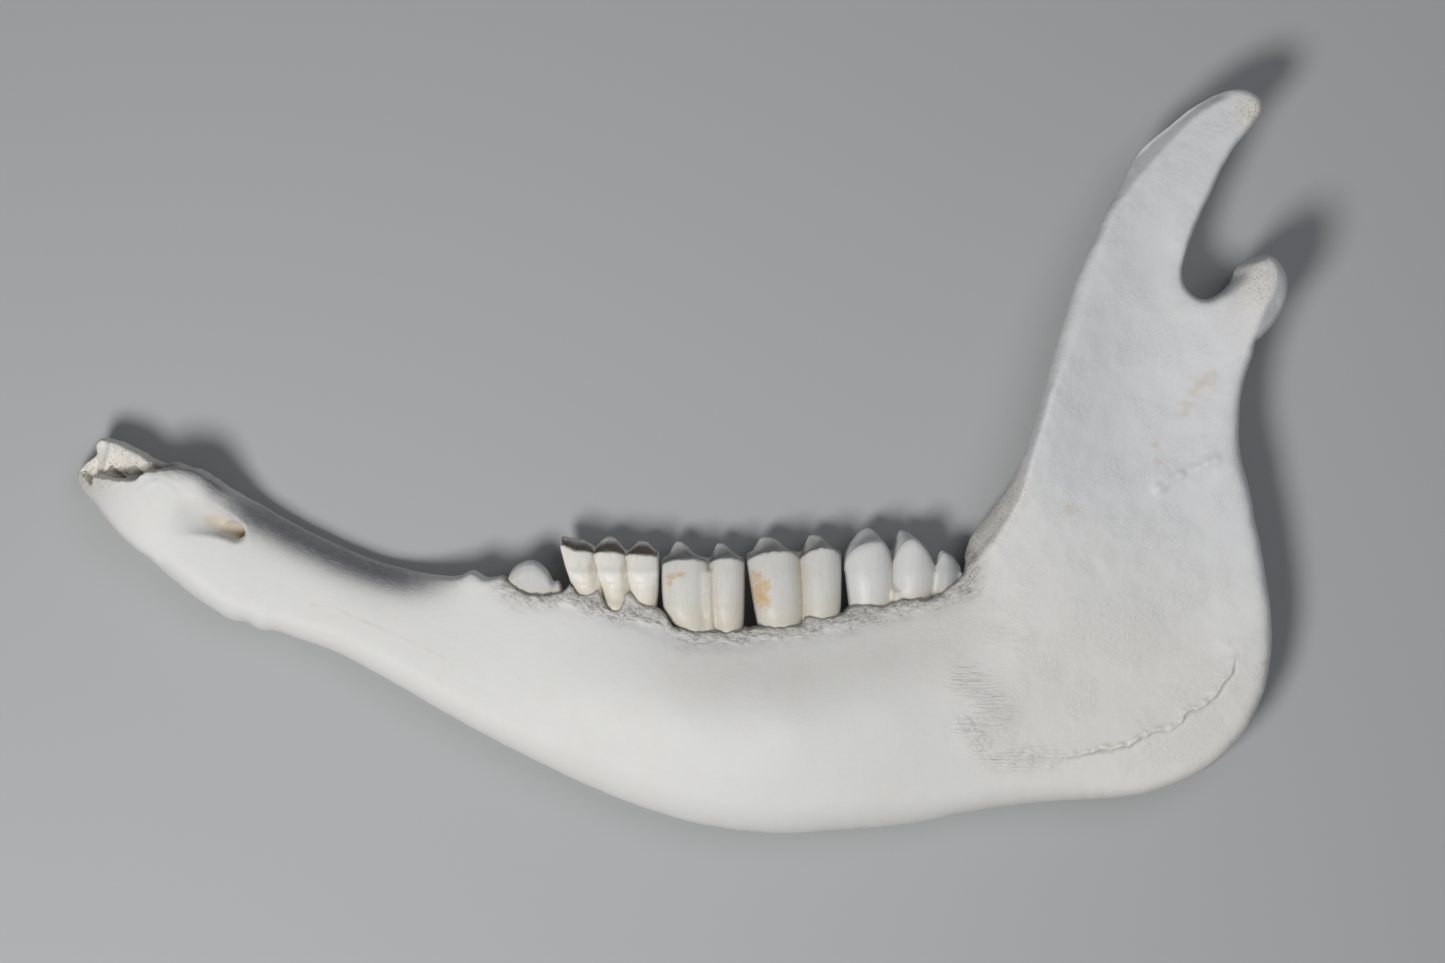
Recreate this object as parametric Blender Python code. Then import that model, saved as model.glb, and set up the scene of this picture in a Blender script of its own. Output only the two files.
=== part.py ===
# Left half of a young adult cattle mandible with five cheek teeth, lying on its medial side.
# Metres, Z up; the incisor end points to -X, the tooth row and coronoid process to +Y,
# and the lateral face looks up. The bone is one solid and each tooth is a solid of its own.

import math

import bmesh
import bpy
import numpy as np
from mathutils import Vector
from mathutils.geometry import delaunay_2d_cdt

MM = 0.001
ORIGIN = (-0.87, -0.98)
GAP = 0.3
EDGE_STEP = 4.8
LATTICE = 7.0
RING_DEPTHS = (0.6, 2.0, 4.4, 7.4)
LOBE_STEPS = 9
TOP_LATTICE = 1.8

# Borders of the bone in order round the outline: edge radius, then landmarks in mm.
BORDERS = (
    # labial wall of the incisor end, down to the chin
    (4.0, ((-190.5, -4.5), (-189.0, -8.3), (-184.5, -12.2), (-175.0, -23.3), (-165.3, -31.0))),
    # heel of the symphysis
    (6.5, ((-157.0, -38.6), (-147.0, -46.2), (-138.0, -50.5), (-129.0, -53.4), (-119.5, -55.5))),
    # lower border under the diastema
    (8.0, ((-109.5, -59.3), (-94.5, -66.9), (-79.5, -75.5), (-64.5, -84.0), (-49.5, -91.8))),
    # lower border of the body
    (10.5, ((-34.5, -99.1), (-14.5, -107.5), (5.5, -113.5), (30.5, -116.8), (50.5, -115.9), (70.5, -114.4))),
    # shallow notch for the facial vessels
    (8.0, ((85.5, -111.6), (100.5, -108.7), (120.5, -106.5))),
    # angle of the jaw
    (4.5, ((141.0, -104.9), (151.0, -102.6), (165.9, -95.3), (173.8, -87.8), (179.2, -79.9), (183.5, -68.4))),
    # rear border of the ramus
    (5.0, ((185.0, -53.3), (182.3, -31.0), (179.8, -19.5), (177.7, -8.3), (174.8, 3.0), (174.5, 14.2))),
    # neck below the condyle, ending inside the condyle
    (5.0, ((176.0, 25.5), (179.5, 36.7), (183.5, 46.0), (182.5, 55.0), (176.5, 57.5), (170.5, 53.0))),
    # mandibular notch
    (3.5, ((164.2, 50.5), (157.5, 55.0), (156.4, 60.0))),
    # rear edge of the coronoid process
    (3.0, ((158.3, 66.7), (164.4, 81.4), (171.6, 96.0), (178.0, 103.6), (180.6, 108.6), (179.2, 112.8))),
    # front edge of the coronoid process
    (3.0, ((171.6, 114.9), (162.4, 111.5), (152.0, 104.4), (144.2, 96.8), (135.5, 81.8), (130.2, 70.6))),
    # front border of the ramus
    (6.0, ((124.8, 59.2), (117.7, 36.7), (113.6, 21.7), (109.2, 6.7), (103.0, -8.3), (91.8, -22.6))),
    # alveolar border of the cheek teeth
    (2.6, ((90.3, -29.6), (90.2, -34.8), (86.6, -39.6), (79.0, -42.6), (66.0, -45.0), (53.6, -47.5),
           (50.6, -49.2), (38.0, -51.4), (20.0, -53.0), (4.0, -53.2), (-2.4, -52.2), (-6.0, -47.6),
           (-12.0, -47.0), (-24.0, -44.4), (-34.8, -41.3), (-46.0, -42.2), (-53.4, -39.6))),
    # upper border of the diastema
    (4.2, ((-55.2, -36.0), (-64.5, -34.2), (-74.5, -35.8), (-94.5, -31.7), (-114.5, -23.4), (-129.5, -15.3))),
    # lingual wall of the incisor sockets
    (3.0, ((-150.2, -2.0), (-155.0, -0.8), (-165.0, 1.6), (-175.0, 6.3), (-181.2, 7.9), (-186.4, 1.6))),
)

# Thickness landmarks in mm: place, then the heights of the medial and the lateral face.
FACES = (
    # incisor end and symphysis
    (-189, -5, 1.5, 10.5), (-184, -10, 1.2, 17.5), (-181, -3, 1.5, 20.5), (-176, -17, 1.0, 22.5),
    (-170, -8, 1.0, 25.8), (-158, -14, 0.6, 25.6), (-160, -28, 0.6, 23.5),
    (-146, -20, 0.6, 22.5), (-138, -42, -0.3, 20.0), (-128, -28, 1.2, 20.0), (-122, -48, 0.6, 18.5),
    # body under the diastema
    (-105, -38, 2.0, 19.5), (-100, -56, 2.0, 19.5), (-78, -46, 3.0, 20.0), (-76, -66, 2.5, 20.5),
    (-52, -48, 4.0, 22.0), (-52, -76, 3.0, 22.0),
    # body under the cheek teeth
    (-28, -52, 4.5, 24.0), (-26, -74, 3.5, 26.0), (-22, -94, 3.5, 22.5), (2, -58, 4.5, 25.0),
    (2, -80, 3.5, 29.0), (6, -104, 3.0, 24.0), (34, -60, 4.5, 25.0), (36, -82, 3.0, 30.5),
    (36, -106, 1.5, 24.5), (64, -54, 4.8, 24.8), (66, -78, 2.0, 29.0), (74, -103, -0.5, 23.0),
    (86, -42, 6.0, 25.0), (94, -70, 4.0, 27.5), (100, -98, 1.0, 22.5),
    # lower ramus and angle
    (98, -22, 9.0, 28.0), (116, -45, 8.0, 27.5), (122, -80, 5.0, 25.0), (126, -98, 4.0, 23.0),
    (146, -60, 10.0, 25.0), (154, -88, 8.5, 24.5), (174, -68, 12.5, 25.0), (176, -40, 14.0, 26.0),
    # upper ramus
    (112, -2, 12.0, 31.0), (132, -15, 13.0, 27.0), (155, -15, 14.0, 25.0), (118, 25, 15.0, 31.0),
    (140, 15, 16.0, 26.0), (168, 12, 16.0, 27.5), (126, 48, 17.0, 30.0), (145, 42, 17.5, 26.5),
    (167, 36, 15.0, 29.0), (171, 46, 12.5, 33.0), (179, 50, 6.0, 39.5),
    # coronoid process
    (136, 66, 18.5, 28.5), (152, 64, 19.0, 26.5), (148, 88, 20.5, 28.0), (160, 98, 22.0, 28.5),
    (174, 109, 24.0, 31.0),
)

# Rim of the labial wall of the incisor sockets, from the tip backward.
RIM = ((-189.0, -4.6), (-183.0, -5.4), (-171.7, -6.4), (-167.0, -4.0), (-158.0, -3.0), (-150.0, -2.2))
RIM_FALL = 1.75
TROUGH_SHARE = 0.62

# Raised lines of the lateral face: lift in mm, half width, landmarks.
RIDGES = (
    (1.2, 5.0, ((175.0, -58.0), (168.0, -73.0), (153.5, -83.0), (134.0, -90.5), (104.0, -92.0), (92.0, -84.0))),
    (0.9, 5.5, ((150.0, -7.0), (157.0, -4.0), (167.5, 0.5))),
    (1.4, 5.0, ((92.0, -36.0), (101.0, -22.0), (107.0, -8.0), (114.0, 14.0), (120.0, 40.0))),
    (-6.0, 6.0, ((-140.0, -13.0), (-124.0, -22.0), (-108.0, -30.0), (-90.0, -36.5), (-76.0, -40.0))),
    (-1.6, 14.0, ((128.0, -70.0), (145.0, -70.0), (160.0, -55.0))),
    (-1.3, 12.0, ((128.0, 5.0), (140.0, 30.0), (148.0, 55.0))),
    (-3.0, 4.0, ((130.0, 66.0), (137.0, 82.0), (150.0, 99.0), (164.0, 109.0))),
)

# Condyle: a roller across the ramus. Each ring has its height, the shift of its centre
# toward the rear and its two half widths.
CONDYLE_CENTRE = (180.4, 50.9)
CONDYLE_TURN = math.radians(-11.0)
CONDYLE_RINGS = ((0.0, -0.6, 4.2, 8.4), (1.2, -0.3, 5.6, 10.6), (4.0, 0.0, 7.0, 12.4), (9.0, 0.2, 7.8, 13.2),
                 (15.0, 0.2, 7.6, 12.8), (21.0, 0.1, 7.2, 12.4), (27.0, 0.0, 7.3, 12.6), (32.0, -0.2, 7.6, 13.0),
                 (36.0, -0.9, 7.2, 12.4), (39.0, -2.0, 6.0, 10.8), (40.6, -2.8, 4.6, 8.8), (41.0, -3.2, 2.6, 5.6))

# Sockets of the four incisors: mouth, bottom and radius, from the midline outward.
INCISOR_SOCKETS = (
    ((-190.0, 1.0, 5.2), (-172.0, -13.0, 5.0), 2.9),
    ((-187.5, 5.0, 12.0), (-168.0, -13.0, 9.0), 3.1),
    ((-182.0, 7.0, 20.0), (-164.0, -12.0, 13.0), 3.3),
    ((-173.5, 6.0, 27.5), (-157.0, -12.0, 15.0), 3.7),
)

# Tubes bored into the bone: centre points, each with its radius.
MENTAL_FORAMEN = ((-153.0, -19.0, 25.0, 1.6), (-145.5, -20.5, 21.0, 3.4), (-140.0, -21.5, 16.0, 3.7),
                  (-134.5, -23.5, 10.5, 2.2))
MANDIBULAR_FORAMEN = ((131.0, 5.0, 6.0, 4.6), (126.0, -5.0, 13.0, 4.2), (121.0, -14.0, 18.5, 3.0),
                      (117.0, -20.0, 20.5, 1.6))

# Cheek teeth, in mm. Levels go up the tooth: height along Y, front, back, lingual and buccal face.
# Lobe edges run from front to back as shares of the length, and each lobe has its buccal and
# lingual height; drop is how far these fall at the edges of a lobe, on either side.
TEETH = {
    "erupting_premolar": {
        "lobes": (0.0, 0.8, 1.0),
        "levels": ((-52.0, -50.6, -41.0, 9.5, 18.0), (-42.8, -53.0, -37.4, 9.0, 19.6),
                   (-40.6, -53.0, -37.4, 9.2, 19.4)),
        "tops": ((-32.4, -31.2), (-38.0, -37.8)), "drop": ((6.0, 5.4), (1.8, 1.8)),
        "fossette": 0.0, "fold": 0.9, "front": 0.0,
    },
    "milk_premolar": {
        "lobes": (0.0, 0.35, 0.665, 1.0),
        "levels": ((-57.0, -31.4, -9.0, 9.4, 19.4), (-47.4, -32.6, -7.0, 9.0, 20.4),
                   (-41.8, -32.7, -6.4, 8.8, 20.6), (-39.0, -33.8, -6.2, 8.0, 22.0),
                   (-33.0, -35.4, -6.1, 8.2, 21.6), (-29.6, -37.2, -6.1, 9.0, 20.4)),
        "tops": ((-27.8, -25.6), (-28.2, -24.0), (-29.2, -25.4)), "drop": ((1.0, 2.6), (1.0, 2.6), (1.0, 2.6)),
        "fossette": 1.2, "fold": 2.2, "front": 2.6,
    },
    "molar_1": {
        "lobes": (0.0, 0.57, 1.0),
        "levels": ((-65.0, 2.0, 18.6, 8.4, 20.6), (-52.0, 0.4, 19.8, 8.0, 21.4),
                   (-49.6, -2.0, 20.3, 7.6, 22.4), (-45.6, -4.9, 20.6, 7.2, 22.8),
                   (-37.0, -5.4, 20.7, 7.4, 22.2), (-31.6, -5.5, 20.7, 8.6, 20.6)),
        "tops": ((-30.2, -25.6), (-30.2, -26.0)), "drop": ((0.9, 4.4), (0.9, 4.4)),
        "fossette": 1.6, "fold": 3.2, "front": 0.0,
    },
    "molar_2": {
        "lobes": (0.0, 0.56, 1.0),
        "levels": ((-63.0, 26.0, 48.4, 8.2, 20.8), (-50.4, 24.8, 49.6, 7.8, 21.6),
                   (-48.4, 24.4, 49.8, 7.4, 22.4), (-45.6, 23.6, 50.9, 6.8, 23.0),
                   (-36.0, 22.0, 51.1, 7.0, 22.4), (-30.6, 21.3, 51.1, 8.2, 20.6)),
        "tops": ((-28.9, -23.9), (-27.6, -23.0)), "drop": ((1.4, 4.8), (1.4, 4.8)),
        "fossette": 1.8, "fold": 3.6, "front": 0.0,
    },
    "molar_3": {
        "lobes": (0.0, 0.41, 0.777, 1.0),
        "levels": ((-57.0, 54.6, 84.0, 8.4, 20.6), (-40.6, 53.4, 86.0, 8.0, 21.4),
                   (-38.4, 52.8, 86.2, 7.4, 22.4), (-35.0, 52.1, 87.8, 7.2, 22.4),
                   (-31.2, 51.6, 89.2, 8.0, 21.0)),
        "tops": ((-24.6, -21.1), (-23.4, -21.9), (-27.5, -27.0)), "drop": ((4.0, 4.8), (4.2, 4.8), (3.4, 3.4)),
        "fossette": 1.6, "fold": 3.6, "front": 0.0,
    },
}

MATERIALS = {
    "jawbone": (0.76, 0.75, 0.72, 0.62),
    "erupting_premolar": (0.70, 0.70, 0.70, 0.34),
    "milk_premolar": (0.68, 0.66, 0.62, 0.40),
    "molar_1": (0.74, 0.72, 0.68, 0.34),
    "molar_2": (0.62, 0.61, 0.60, 0.34),
    "molar_3": (0.76, 0.76, 0.77, 0.34),
}


def smooth_loop(points, values, step):
    """Closed centripetal spline through the landmarks, sampled evenly, with one value carried along."""
    p = np.array(points, float)
    v = np.array(values, float)
    n = len(p)
    fine = []
    for i in range(n):
        a, b, c, d = (p[(i + k) % n] for k in (-1, 0, 1, 2))
        ta = np.linalg.norm(b - a) ** 0.5
        tb = np.linalg.norm(c - b) ** 0.5
        tc = np.linalg.norm(d - c) ** 0.5
        mb = (c - b) / tb - (c - a) / (ta + tb) + (b - a) / ta
        mc = (d - c) / tc - (d - b) / (tb + tc) + (c - b) / tb
        for t in np.linspace(0.0, 1.0, 24, endpoint=False):
            h = t * t * (3.0 - 2.0 * t)
            place = b + (c - b) * h + tb * (t * (1.0 - t) ** 2 * mb - t * t * (1.0 - t) * mc)
            fine.append((*place, v[i] + (v[(i + 1) % n] - v[i]) * h))
    fine = np.array(fine + fine[:1])
    run = np.concatenate(([0.0], np.cumsum(np.linalg.norm(np.diff(fine[:, :2], axis=0), axis=1))))
    count = int(round(run[-1] / step))
    at = np.linspace(0.0, run[-1], count, endpoint=False)
    return np.column_stack([np.interp(at, run, fine[:, k]) for k in range(3)])


def line_distance(x, y, line):
    """Distance in the plane from each place to an open line, and how far along the line it lies."""
    best = np.full(x.shape, 1e9)
    along = np.zeros(x.shape)
    line = np.array(line, float)
    for i in range(len(line) - 1):
        a = line[i]
        b = line[i + 1]
        d = b - a
        t = np.clip(((x - a[0]) * d[0] + (y - a[1]) * d[1]) / (d @ d), 0.0, 1.0)
        r = np.hypot(x - a[0] - t * d[0], y - a[1] - t * d[1])
        near = r < best
        best = np.where(near, r, best)
        along = np.where(near, (i + t) / (len(line) - 1), along)
    return best, along


class Surface:
    """Thin-plate surface through scattered landmarks."""

    def __init__(self, x, y, z):
        self.x = np.array(x, float)
        self.y = np.array(y, float)
        n = len(self.x)
        a = np.zeros((n + 3, n + 3))
        a[:n, :n] = self.kernel(self.x, self.y) + 6.0 * np.eye(n)
        a[:n, n] = 1.0
        a[:n, n + 1] = self.x
        a[:n, n + 2] = self.y
        a[n:, :n] = a[:n, n:].T
        self.w = np.linalg.solve(a, np.concatenate((np.array(z, float), np.zeros(3))))

    def kernel(self, x, y):
        r2 = (x[:, None] - self.x[None, :]) ** 2 + (y[:, None] - self.y[None, :]) ** 2
        return 0.5 * r2 * np.log(np.maximum(r2, 1e-9))

    def __call__(self, x, y):
        n = len(self.x)
        return self.kernel(x, y) @ self.w[:n] + self.w[n] + self.w[n + 1] * x + self.w[n + 2] * y


def mesh_object(name, verts, faces, collection):
    """Mesh object from points in mm, with every face turned outward."""
    mesh = bpy.data.meshes.new(name)
    mesh.from_pydata([((x - ORIGIN[0]) * MM, (y - ORIGIN[1]) * MM, z * MM) for x, y, z in verts], [], faces)
    bm = bmesh.new()
    bm.from_mesh(mesh)
    bmesh.ops.triangulate(bm, faces=bm.faces[:])
    bmesh.ops.recalc_face_normals(bm, faces=bm.faces[:])
    bm.to_mesh(mesh)
    bm.free()
    obj = bpy.data.objects.new(name, mesh)
    collection.objects.link(obj)
    return obj


def hex_lattice(low, high, step):
    rows = np.arange(low[1], high[1], step * 0.866)
    cols = np.arange(low[0], high[0], step)
    return np.array([(c + (k % 2) * step / 2, r) for k, r in enumerate(rows) for c in cols])


def fill(outline, inner):
    """Triangles over the outline and the inner places; ears lying wholly on the outline are left off."""
    n = len(outline)
    pts = [Vector(p[:2]) for p in np.vstack((outline[:, :2], inner))]
    rim = [(i, (i + 1) % n) for i in range(n)]
    out = delaunay_2d_cdt(pts, rim, [list(range(n))], 1, 1e-5)
    places = np.array([tuple(v) for v in out[0]])
    source = [ids[0] if ids else -1 for ids in out[3]]
    on_rim = np.array([0 <= s < n for s in source])
    tris = [f for f in out[2] if not all(on_rim[i] for i in f)]
    used = sorted({i for f in tris for i in f})
    index = {old: new for new, old in enumerate(used)}
    return places[used], on_rim[used], [tuple(index[i] for i in f) for f in tris]


def bone_plate(collection):
    """Bone without the condyle: two faces over one outline, meeting in a rounded edge."""
    marks = [p for radius, line in BORDERS for p in line]
    radii = [radius for radius, line in BORDERS for p in line]
    outline = smooth_loop(marks, radii, EDGE_STEP)
    ring = np.vstack((outline[:, :2], outline[:1, :2]))
    ahead = np.roll(outline[:, :2], -1, axis=0) - np.roll(outline[:, :2], 1, axis=0)
    inward = np.column_stack((-ahead[:, 1], ahead[:, 0])) / np.linalg.norm(ahead, axis=1)[:, None]
    inner = []
    for depth in RING_DEPTHS:
        spots = outline[:, :2] + inward * depth
        away = line_distance(spots[:, 0], spots[:, 1], ring)[0]
        inner.append(spots[away > depth * 0.93])
    grid = hex_lattice(outline[:, :2].min(axis=0), outline[:, :2].max(axis=0), LATTICE)
    away = line_distance(grid[:, 0], grid[:, 1], ring)[0]
    inner.append(grid[(away > 11.0) & inside(grid, outline)])
    places, on_rim, tris = fill(outline, np.vstack(inner))
    x = places[:, 0]
    y = places[:, 1]
    depth = np.where(on_rim, 0.0, line_distance(x, y, ring)[0])
    edge = nearest_value(x, y, outline)
    low, high = faces_at(x, y)
    middle = 0.5 * (low + high)
    share = np.clip(depth / edge, 0.0, 1.0)
    swell = np.sqrt(1.0 - (1.0 - share) ** 2)
    upper = middle + (high - middle) * swell
    lower = np.maximum(middle + (low - middle) * swell, 0.0)
    verts = [(px, py, pz) for px, py, pz in zip(x, y, upper)]
    under = {}
    for i in range(len(x)):
        if on_rim[i]:
            under[i] = i
        else:
            under[i] = len(verts)
            verts.append((x[i], y[i], lower[i]))
    faces = list(tris) + [tuple(under[i] for i in reversed(f)) for f in tris]
    return mesh_object("jawbone", verts, faces, collection)


def inside(spots, outline):
    """True for each place inside the closed outline."""
    hits = np.zeros(len(spots), bool)
    n = len(outline)
    for i in range(n):
        ax, ay = outline[i][:2]
        bx, by = outline[(i + 1) % n][:2]
        cross = (ay > spots[:, 1]) != (by > spots[:, 1])
        if ay != by:
            cut = ax + (spots[:, 1] - ay) * (bx - ax) / (by - ay)
            hits ^= cross & (spots[:, 0] < cut)
    return hits


def nearest_value(x, y, outline):
    """Edge radius at each place, blended from the outline points close to it."""
    r2 = (x[:, None] - outline[None, :, 0]) ** 2 + (y[:, None] - outline[None, :, 1]) ** 2
    weight = 1.0 / (r2 + 4.0) ** 3
    return (weight @ outline[:, 2]) / weight.sum(axis=1)


def faces_at(x, y):
    """Heights of the medial and the lateral face, with the relief of the lateral face."""
    marks = np.array(FACES, float)
    low = Surface(marks[:, 0], marks[:, 1], marks[:, 2])(x, y)
    high = Surface(marks[:, 0], marks[:, 1], marks[:, 3])(x, y)
    for lift, width, line in RIDGES:
        away = line_distance(x, y, line)[0]
        high = high + lift * np.exp(-(away / width) ** 2)
    rim_x = [p[0] for p in RIM]
    rim_y = [p[1] for p in RIM]
    above = y - np.interp(x, rim_x, rim_y)
    fall = np.where(x < RIM[-1][0], np.maximum(above, 0.0) * RIM_FALL, 0.0)
    high = np.where(fall > 0.0, np.maximum(high - fall, TROUGH_SHARE * high), high)
    return low, high


def loft(name, rings, collection):
    """Closed body through rings with the same number of points."""
    n = len(rings[0])
    verts = [p for ring in rings for p in ring]
    faces = []
    for k in range(len(rings) - 1):
        for i in range(n):
            j = (i + 1) % n
            faces.append((k * n + i, k * n + j, (k + 1) * n + j, (k + 1) * n + i))
    for k in (0, len(rings) - 1):
        verts.append(tuple(np.mean(rings[k], axis=0)))
        for i in range(n):
            faces.append((k * n + i, k * n + (i + 1) % n, len(verts) - 1))
    return mesh_object(name, verts, faces, collection)


def condyle(collection):
    cx, cy = CONDYLE_CENTRE
    turn = CONDYLE_TURN
    rings = []
    for z, shift, across, tall in CONDYLE_RINGS:
        ring = []
        for k in range(28):
            a = 2.0 * math.pi * k / 28
            u = shift + across * math.copysign(abs(math.cos(a)) ** 0.9, math.cos(a))
            v = tall * math.copysign(abs(math.sin(a)) ** 0.9, math.sin(a))
            ring.append((cx + u * math.cos(turn) - v * math.sin(turn),
                         cy + u * math.sin(turn) + v * math.cos(turn), z))
        rings.append(ring)
    return loft("condyle_roller", rings, collection)


def tube(name, path, collection, sides=14):
    """Tapered tube through centre points, each with its radius."""
    points = [Vector(p[:3]) for p in path]
    rings = []
    for k, here in enumerate(points):
        ahead = (points[min(k + 1, len(points) - 1)] - points[max(k - 1, 0)]).normalized()
        side = ahead.cross(Vector((0.13, 0.31, 1.0))).normalized()
        other = ahead.cross(side)
        r = path[k][3]
        ring = []
        for i in range(sides):
            a = 2.0 * math.pi * i / sides
            ring.append(tuple(here + side * (r * math.cos(a)) + other * (r * math.sin(a))))
        rings.append(ring)
    return loft(name, rings, collection)


def lobe_place(s, lobes):
    """Which lobe a share of the length falls in, and where across it, from -1 to 1."""
    for k, (a, b) in enumerate(zip(lobes[:-1], lobes[1:])):
        if s <= b or k == len(lobes) - 2:
            return k, max(-1.0, min(1.0, 2.0 * (s - a) / (b - a) - 1.0))


def lobe_swell(s, lobes):
    """Nought at the folds between lobes and one over the middle of each lobe."""
    return math.sqrt(1.0 - abs(lobe_place(s, lobes)[1]) ** 2.6)


def tooth_ring(spec, level, grow=0.0, fold_share=1.0):
    """Outline of a tooth at one level, buccal side first, as (x, z)."""
    y, front, back, lingual, buccal = level
    front -= grow
    back += grow
    lingual -= grow
    buccal += grow
    lobes = spec["lobes"]
    shares = []
    for a, b in zip(lobes[:-1], lobes[1:]):
        for k in range(LOBE_STEPS):
            t = 0.5 - 0.5 * math.cos(math.pi * k / LOBE_STEPS)
            shares.append(a + (b - a) * t)
    shares.append(1.0)
    fold = spec["fold"] * fold_share
    ring = []
    for s in shares:
        swell = lobe_swell(s, lobes)
        ring.append((front + (back - front) * s, buccal - fold * (1.0 - swell)))
    for s in reversed(shares):
        swell = lobe_swell(s, lobes)
        ring.append((front + (back - front) * s, lingual + 0.36 * fold * (1.0 - swell)))
    return ring


def occlusal(spec, x, z):
    """Height of the chewing surface above a place on the last level."""
    top = spec["levels"][-1]
    lobes = spec["lobes"]
    s = min(max((x - top[1]) / (top[2] - top[1]), 0.0), 1.0)
    v = min(max((top[4] - z) / (top[4] - top[3]), 0.0), 1.0)
    centres = [0.5 * (a + b) for a, b in zip(lobes[:-1], lobes[1:])]
    across = abs(lobe_place(s, lobes)[1])
    peaks = [np.interp(s, centres, [t[side] for t in spec["tops"]]) for side in (0, 1)]
    drops = [np.interp(s, centres, [t[side] for t in spec["drop"]]) for side in (0, 1)]
    buccal = peaks[0] - drops[0] * across ** 2.4
    lingual = peaks[1] - drops[1] * across ** 1.4
    height = buccal + (lingual - buccal) * v * v * (3.0 - 2.0 * v)
    height -= spec["fossette"] * (1.0 - across ** 2) * math.exp(-((v - 0.5) / 0.17) ** 2)
    return height + spec["front"] * max(0.0, 1.0 - s / 0.16)


def tooth(name, spec, collection):
    levels = spec["levels"]
    rings = []
    for level in levels[:-1]:
        rings.append([(x, level[0], z) for x, z in tooth_ring(spec, level)])
    last = tooth_ring(spec, levels[-1])
    rings.append([(x, occlusal(spec, x, z), z) for x, z in last])
    n = len(last)
    verts = [p for ring in rings for p in ring]
    faces = []
    for k in range(len(rings) - 1):
        for i in range(n):
            j = (i + 1) % n
            faces.append((k * n + i, (k + 1) * n + i, (k + 1) * n + j, k * n + j))
    outline = np.array(last)
    grid = hex_lattice(outline.min(axis=0), outline.max(axis=0), TOP_LATTICE)
    ring = np.vstack((outline, outline[:1]))
    away = line_distance(grid[:, 0], grid[:, 1], ring)[0]
    closed = np.column_stack((outline, np.zeros(n)))
    grid = grid[(away > 0.9) & inside(grid, closed)]
    pts = [Vector(p) for p in np.vstack((outline, grid))]
    rim = [(i, (i + 1) % n) for i in range(n)]
    out = delaunay_2d_cdt(pts, rim, [list(range(n))], 1, 1e-6)
    base = (len(rings) - 1) * n
    index = {}
    for i, p in enumerate(out[0]):
        source = out[3][i][0]
        if source < n:
            index[i] = base + source
        else:
            index[i] = len(verts)
            verts.append((p[0], occlusal(spec, p[0], p[1]), p[1]))
    faces += [tuple(index[i] for i in f) for f in out[2]]
    first = [Vector(p) for p in tooth_ring(spec, levels[0])]
    out = delaunay_2d_cdt(first, rim, [list(range(n))], 1, 1e-6)
    faces += [tuple(out[3][i][0] for i in reversed(f)) for f in out[2]]
    return mesh_object(name, verts, faces, collection)


def socket_cutter(name, spec, collection):
    """Root of the tooth with the gap added, carried up through the alveolar border."""
    low, neck = spec["levels"][:2]
    rings = []
    for level, y in ((low, low[0] - GAP), (neck, neck[0]), (neck, neck[0] + 9.0)):
        rings.append([(x, y, z) for x, z in tooth_ring(spec, level, GAP, 0.55)])
    return loft("cut_" + name, rings, collection)


def boolean(target, other, operation):
    step = target.modifiers.new(operation.lower() + " " + other.name, "BOOLEAN")
    step.operation = operation
    step.solver = "EXACT"
    step.object = other


def paint(obj, name):
    red, green, blue, rough = MATERIALS[name]
    material = bpy.data.materials.new(name + " surface")
    material.use_nodes = True
    shader = material.node_tree.nodes["Principled BSDF"]
    shader.inputs["Base Color"].default_value = (red, green, blue, 1.0)
    shader.inputs["Roughness"].default_value = rough
    material.diffuse_color = (red, green, blue, 1.0)
    obj.data.materials.clear()
    obj.data.materials.append(material)


def main():
    for obj in list(bpy.data.objects):
        bpy.data.objects.remove(obj, do_unlink=True)
    scene = bpy.context.scene
    scene.unit_settings.system = "METRIC"
    scene.unit_settings.length_unit = "MILLIMETERS"
    parts = bpy.data.collections.new("cattle jawbone")
    cutters = bpy.data.collections.new("cutters")
    scene.collection.children.link(parts)
    scene.collection.children.link(cutters)

    bone = bone_plate(parts)
    roller = condyle(cutters)
    helpers = [roller]
    boolean(bone, roller, "UNION")
    for k, (mouth, bottom, radius) in enumerate(INCISOR_SOCKETS):
        path = ((*mouth, radius * 1.12), (*[0.5 * (a + b) for a, b in zip(mouth, bottom)], radius),
                (*bottom, radius * 0.45))
        helpers.append(tube("cut_incisor_socket_" + str(k + 1), path, cutters))
    helpers.append(tube("cut_mental_foramen", MENTAL_FORAMEN, cutters))
    helpers.append(tube("cut_mandibular_foramen", MANDIBULAR_FORAMEN, cutters))
    for name, spec in TEETH.items():
        helpers.append(socket_cutter(name, spec, cutters))
    for helper in helpers[1:]:
        boolean(bone, helper, "DIFFERENCE")
    for helper in helpers:
        helper.hide_render = True
        helper.display_type = "WIRE"
    bpy.context.view_layer.update()
    paint(bone, "jawbone")
    for name, spec in TEETH.items():
        paint(tooth(name, spec, parts), name)


main()
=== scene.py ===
# Looks of the cattle jawbone: the left half of a young adult's mandible with five cheek teeth,
# lying on its inner side on a plain floor. Tables are in mm on the measured drawing, where
# the incisor end points to -X and the tooth row to +Y; the object itself is in metres.

import math

import bmesh
import bpy
import numpy as np
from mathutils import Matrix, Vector, noise
from mathutils.geometry import delaunay_2d_cdt


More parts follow.
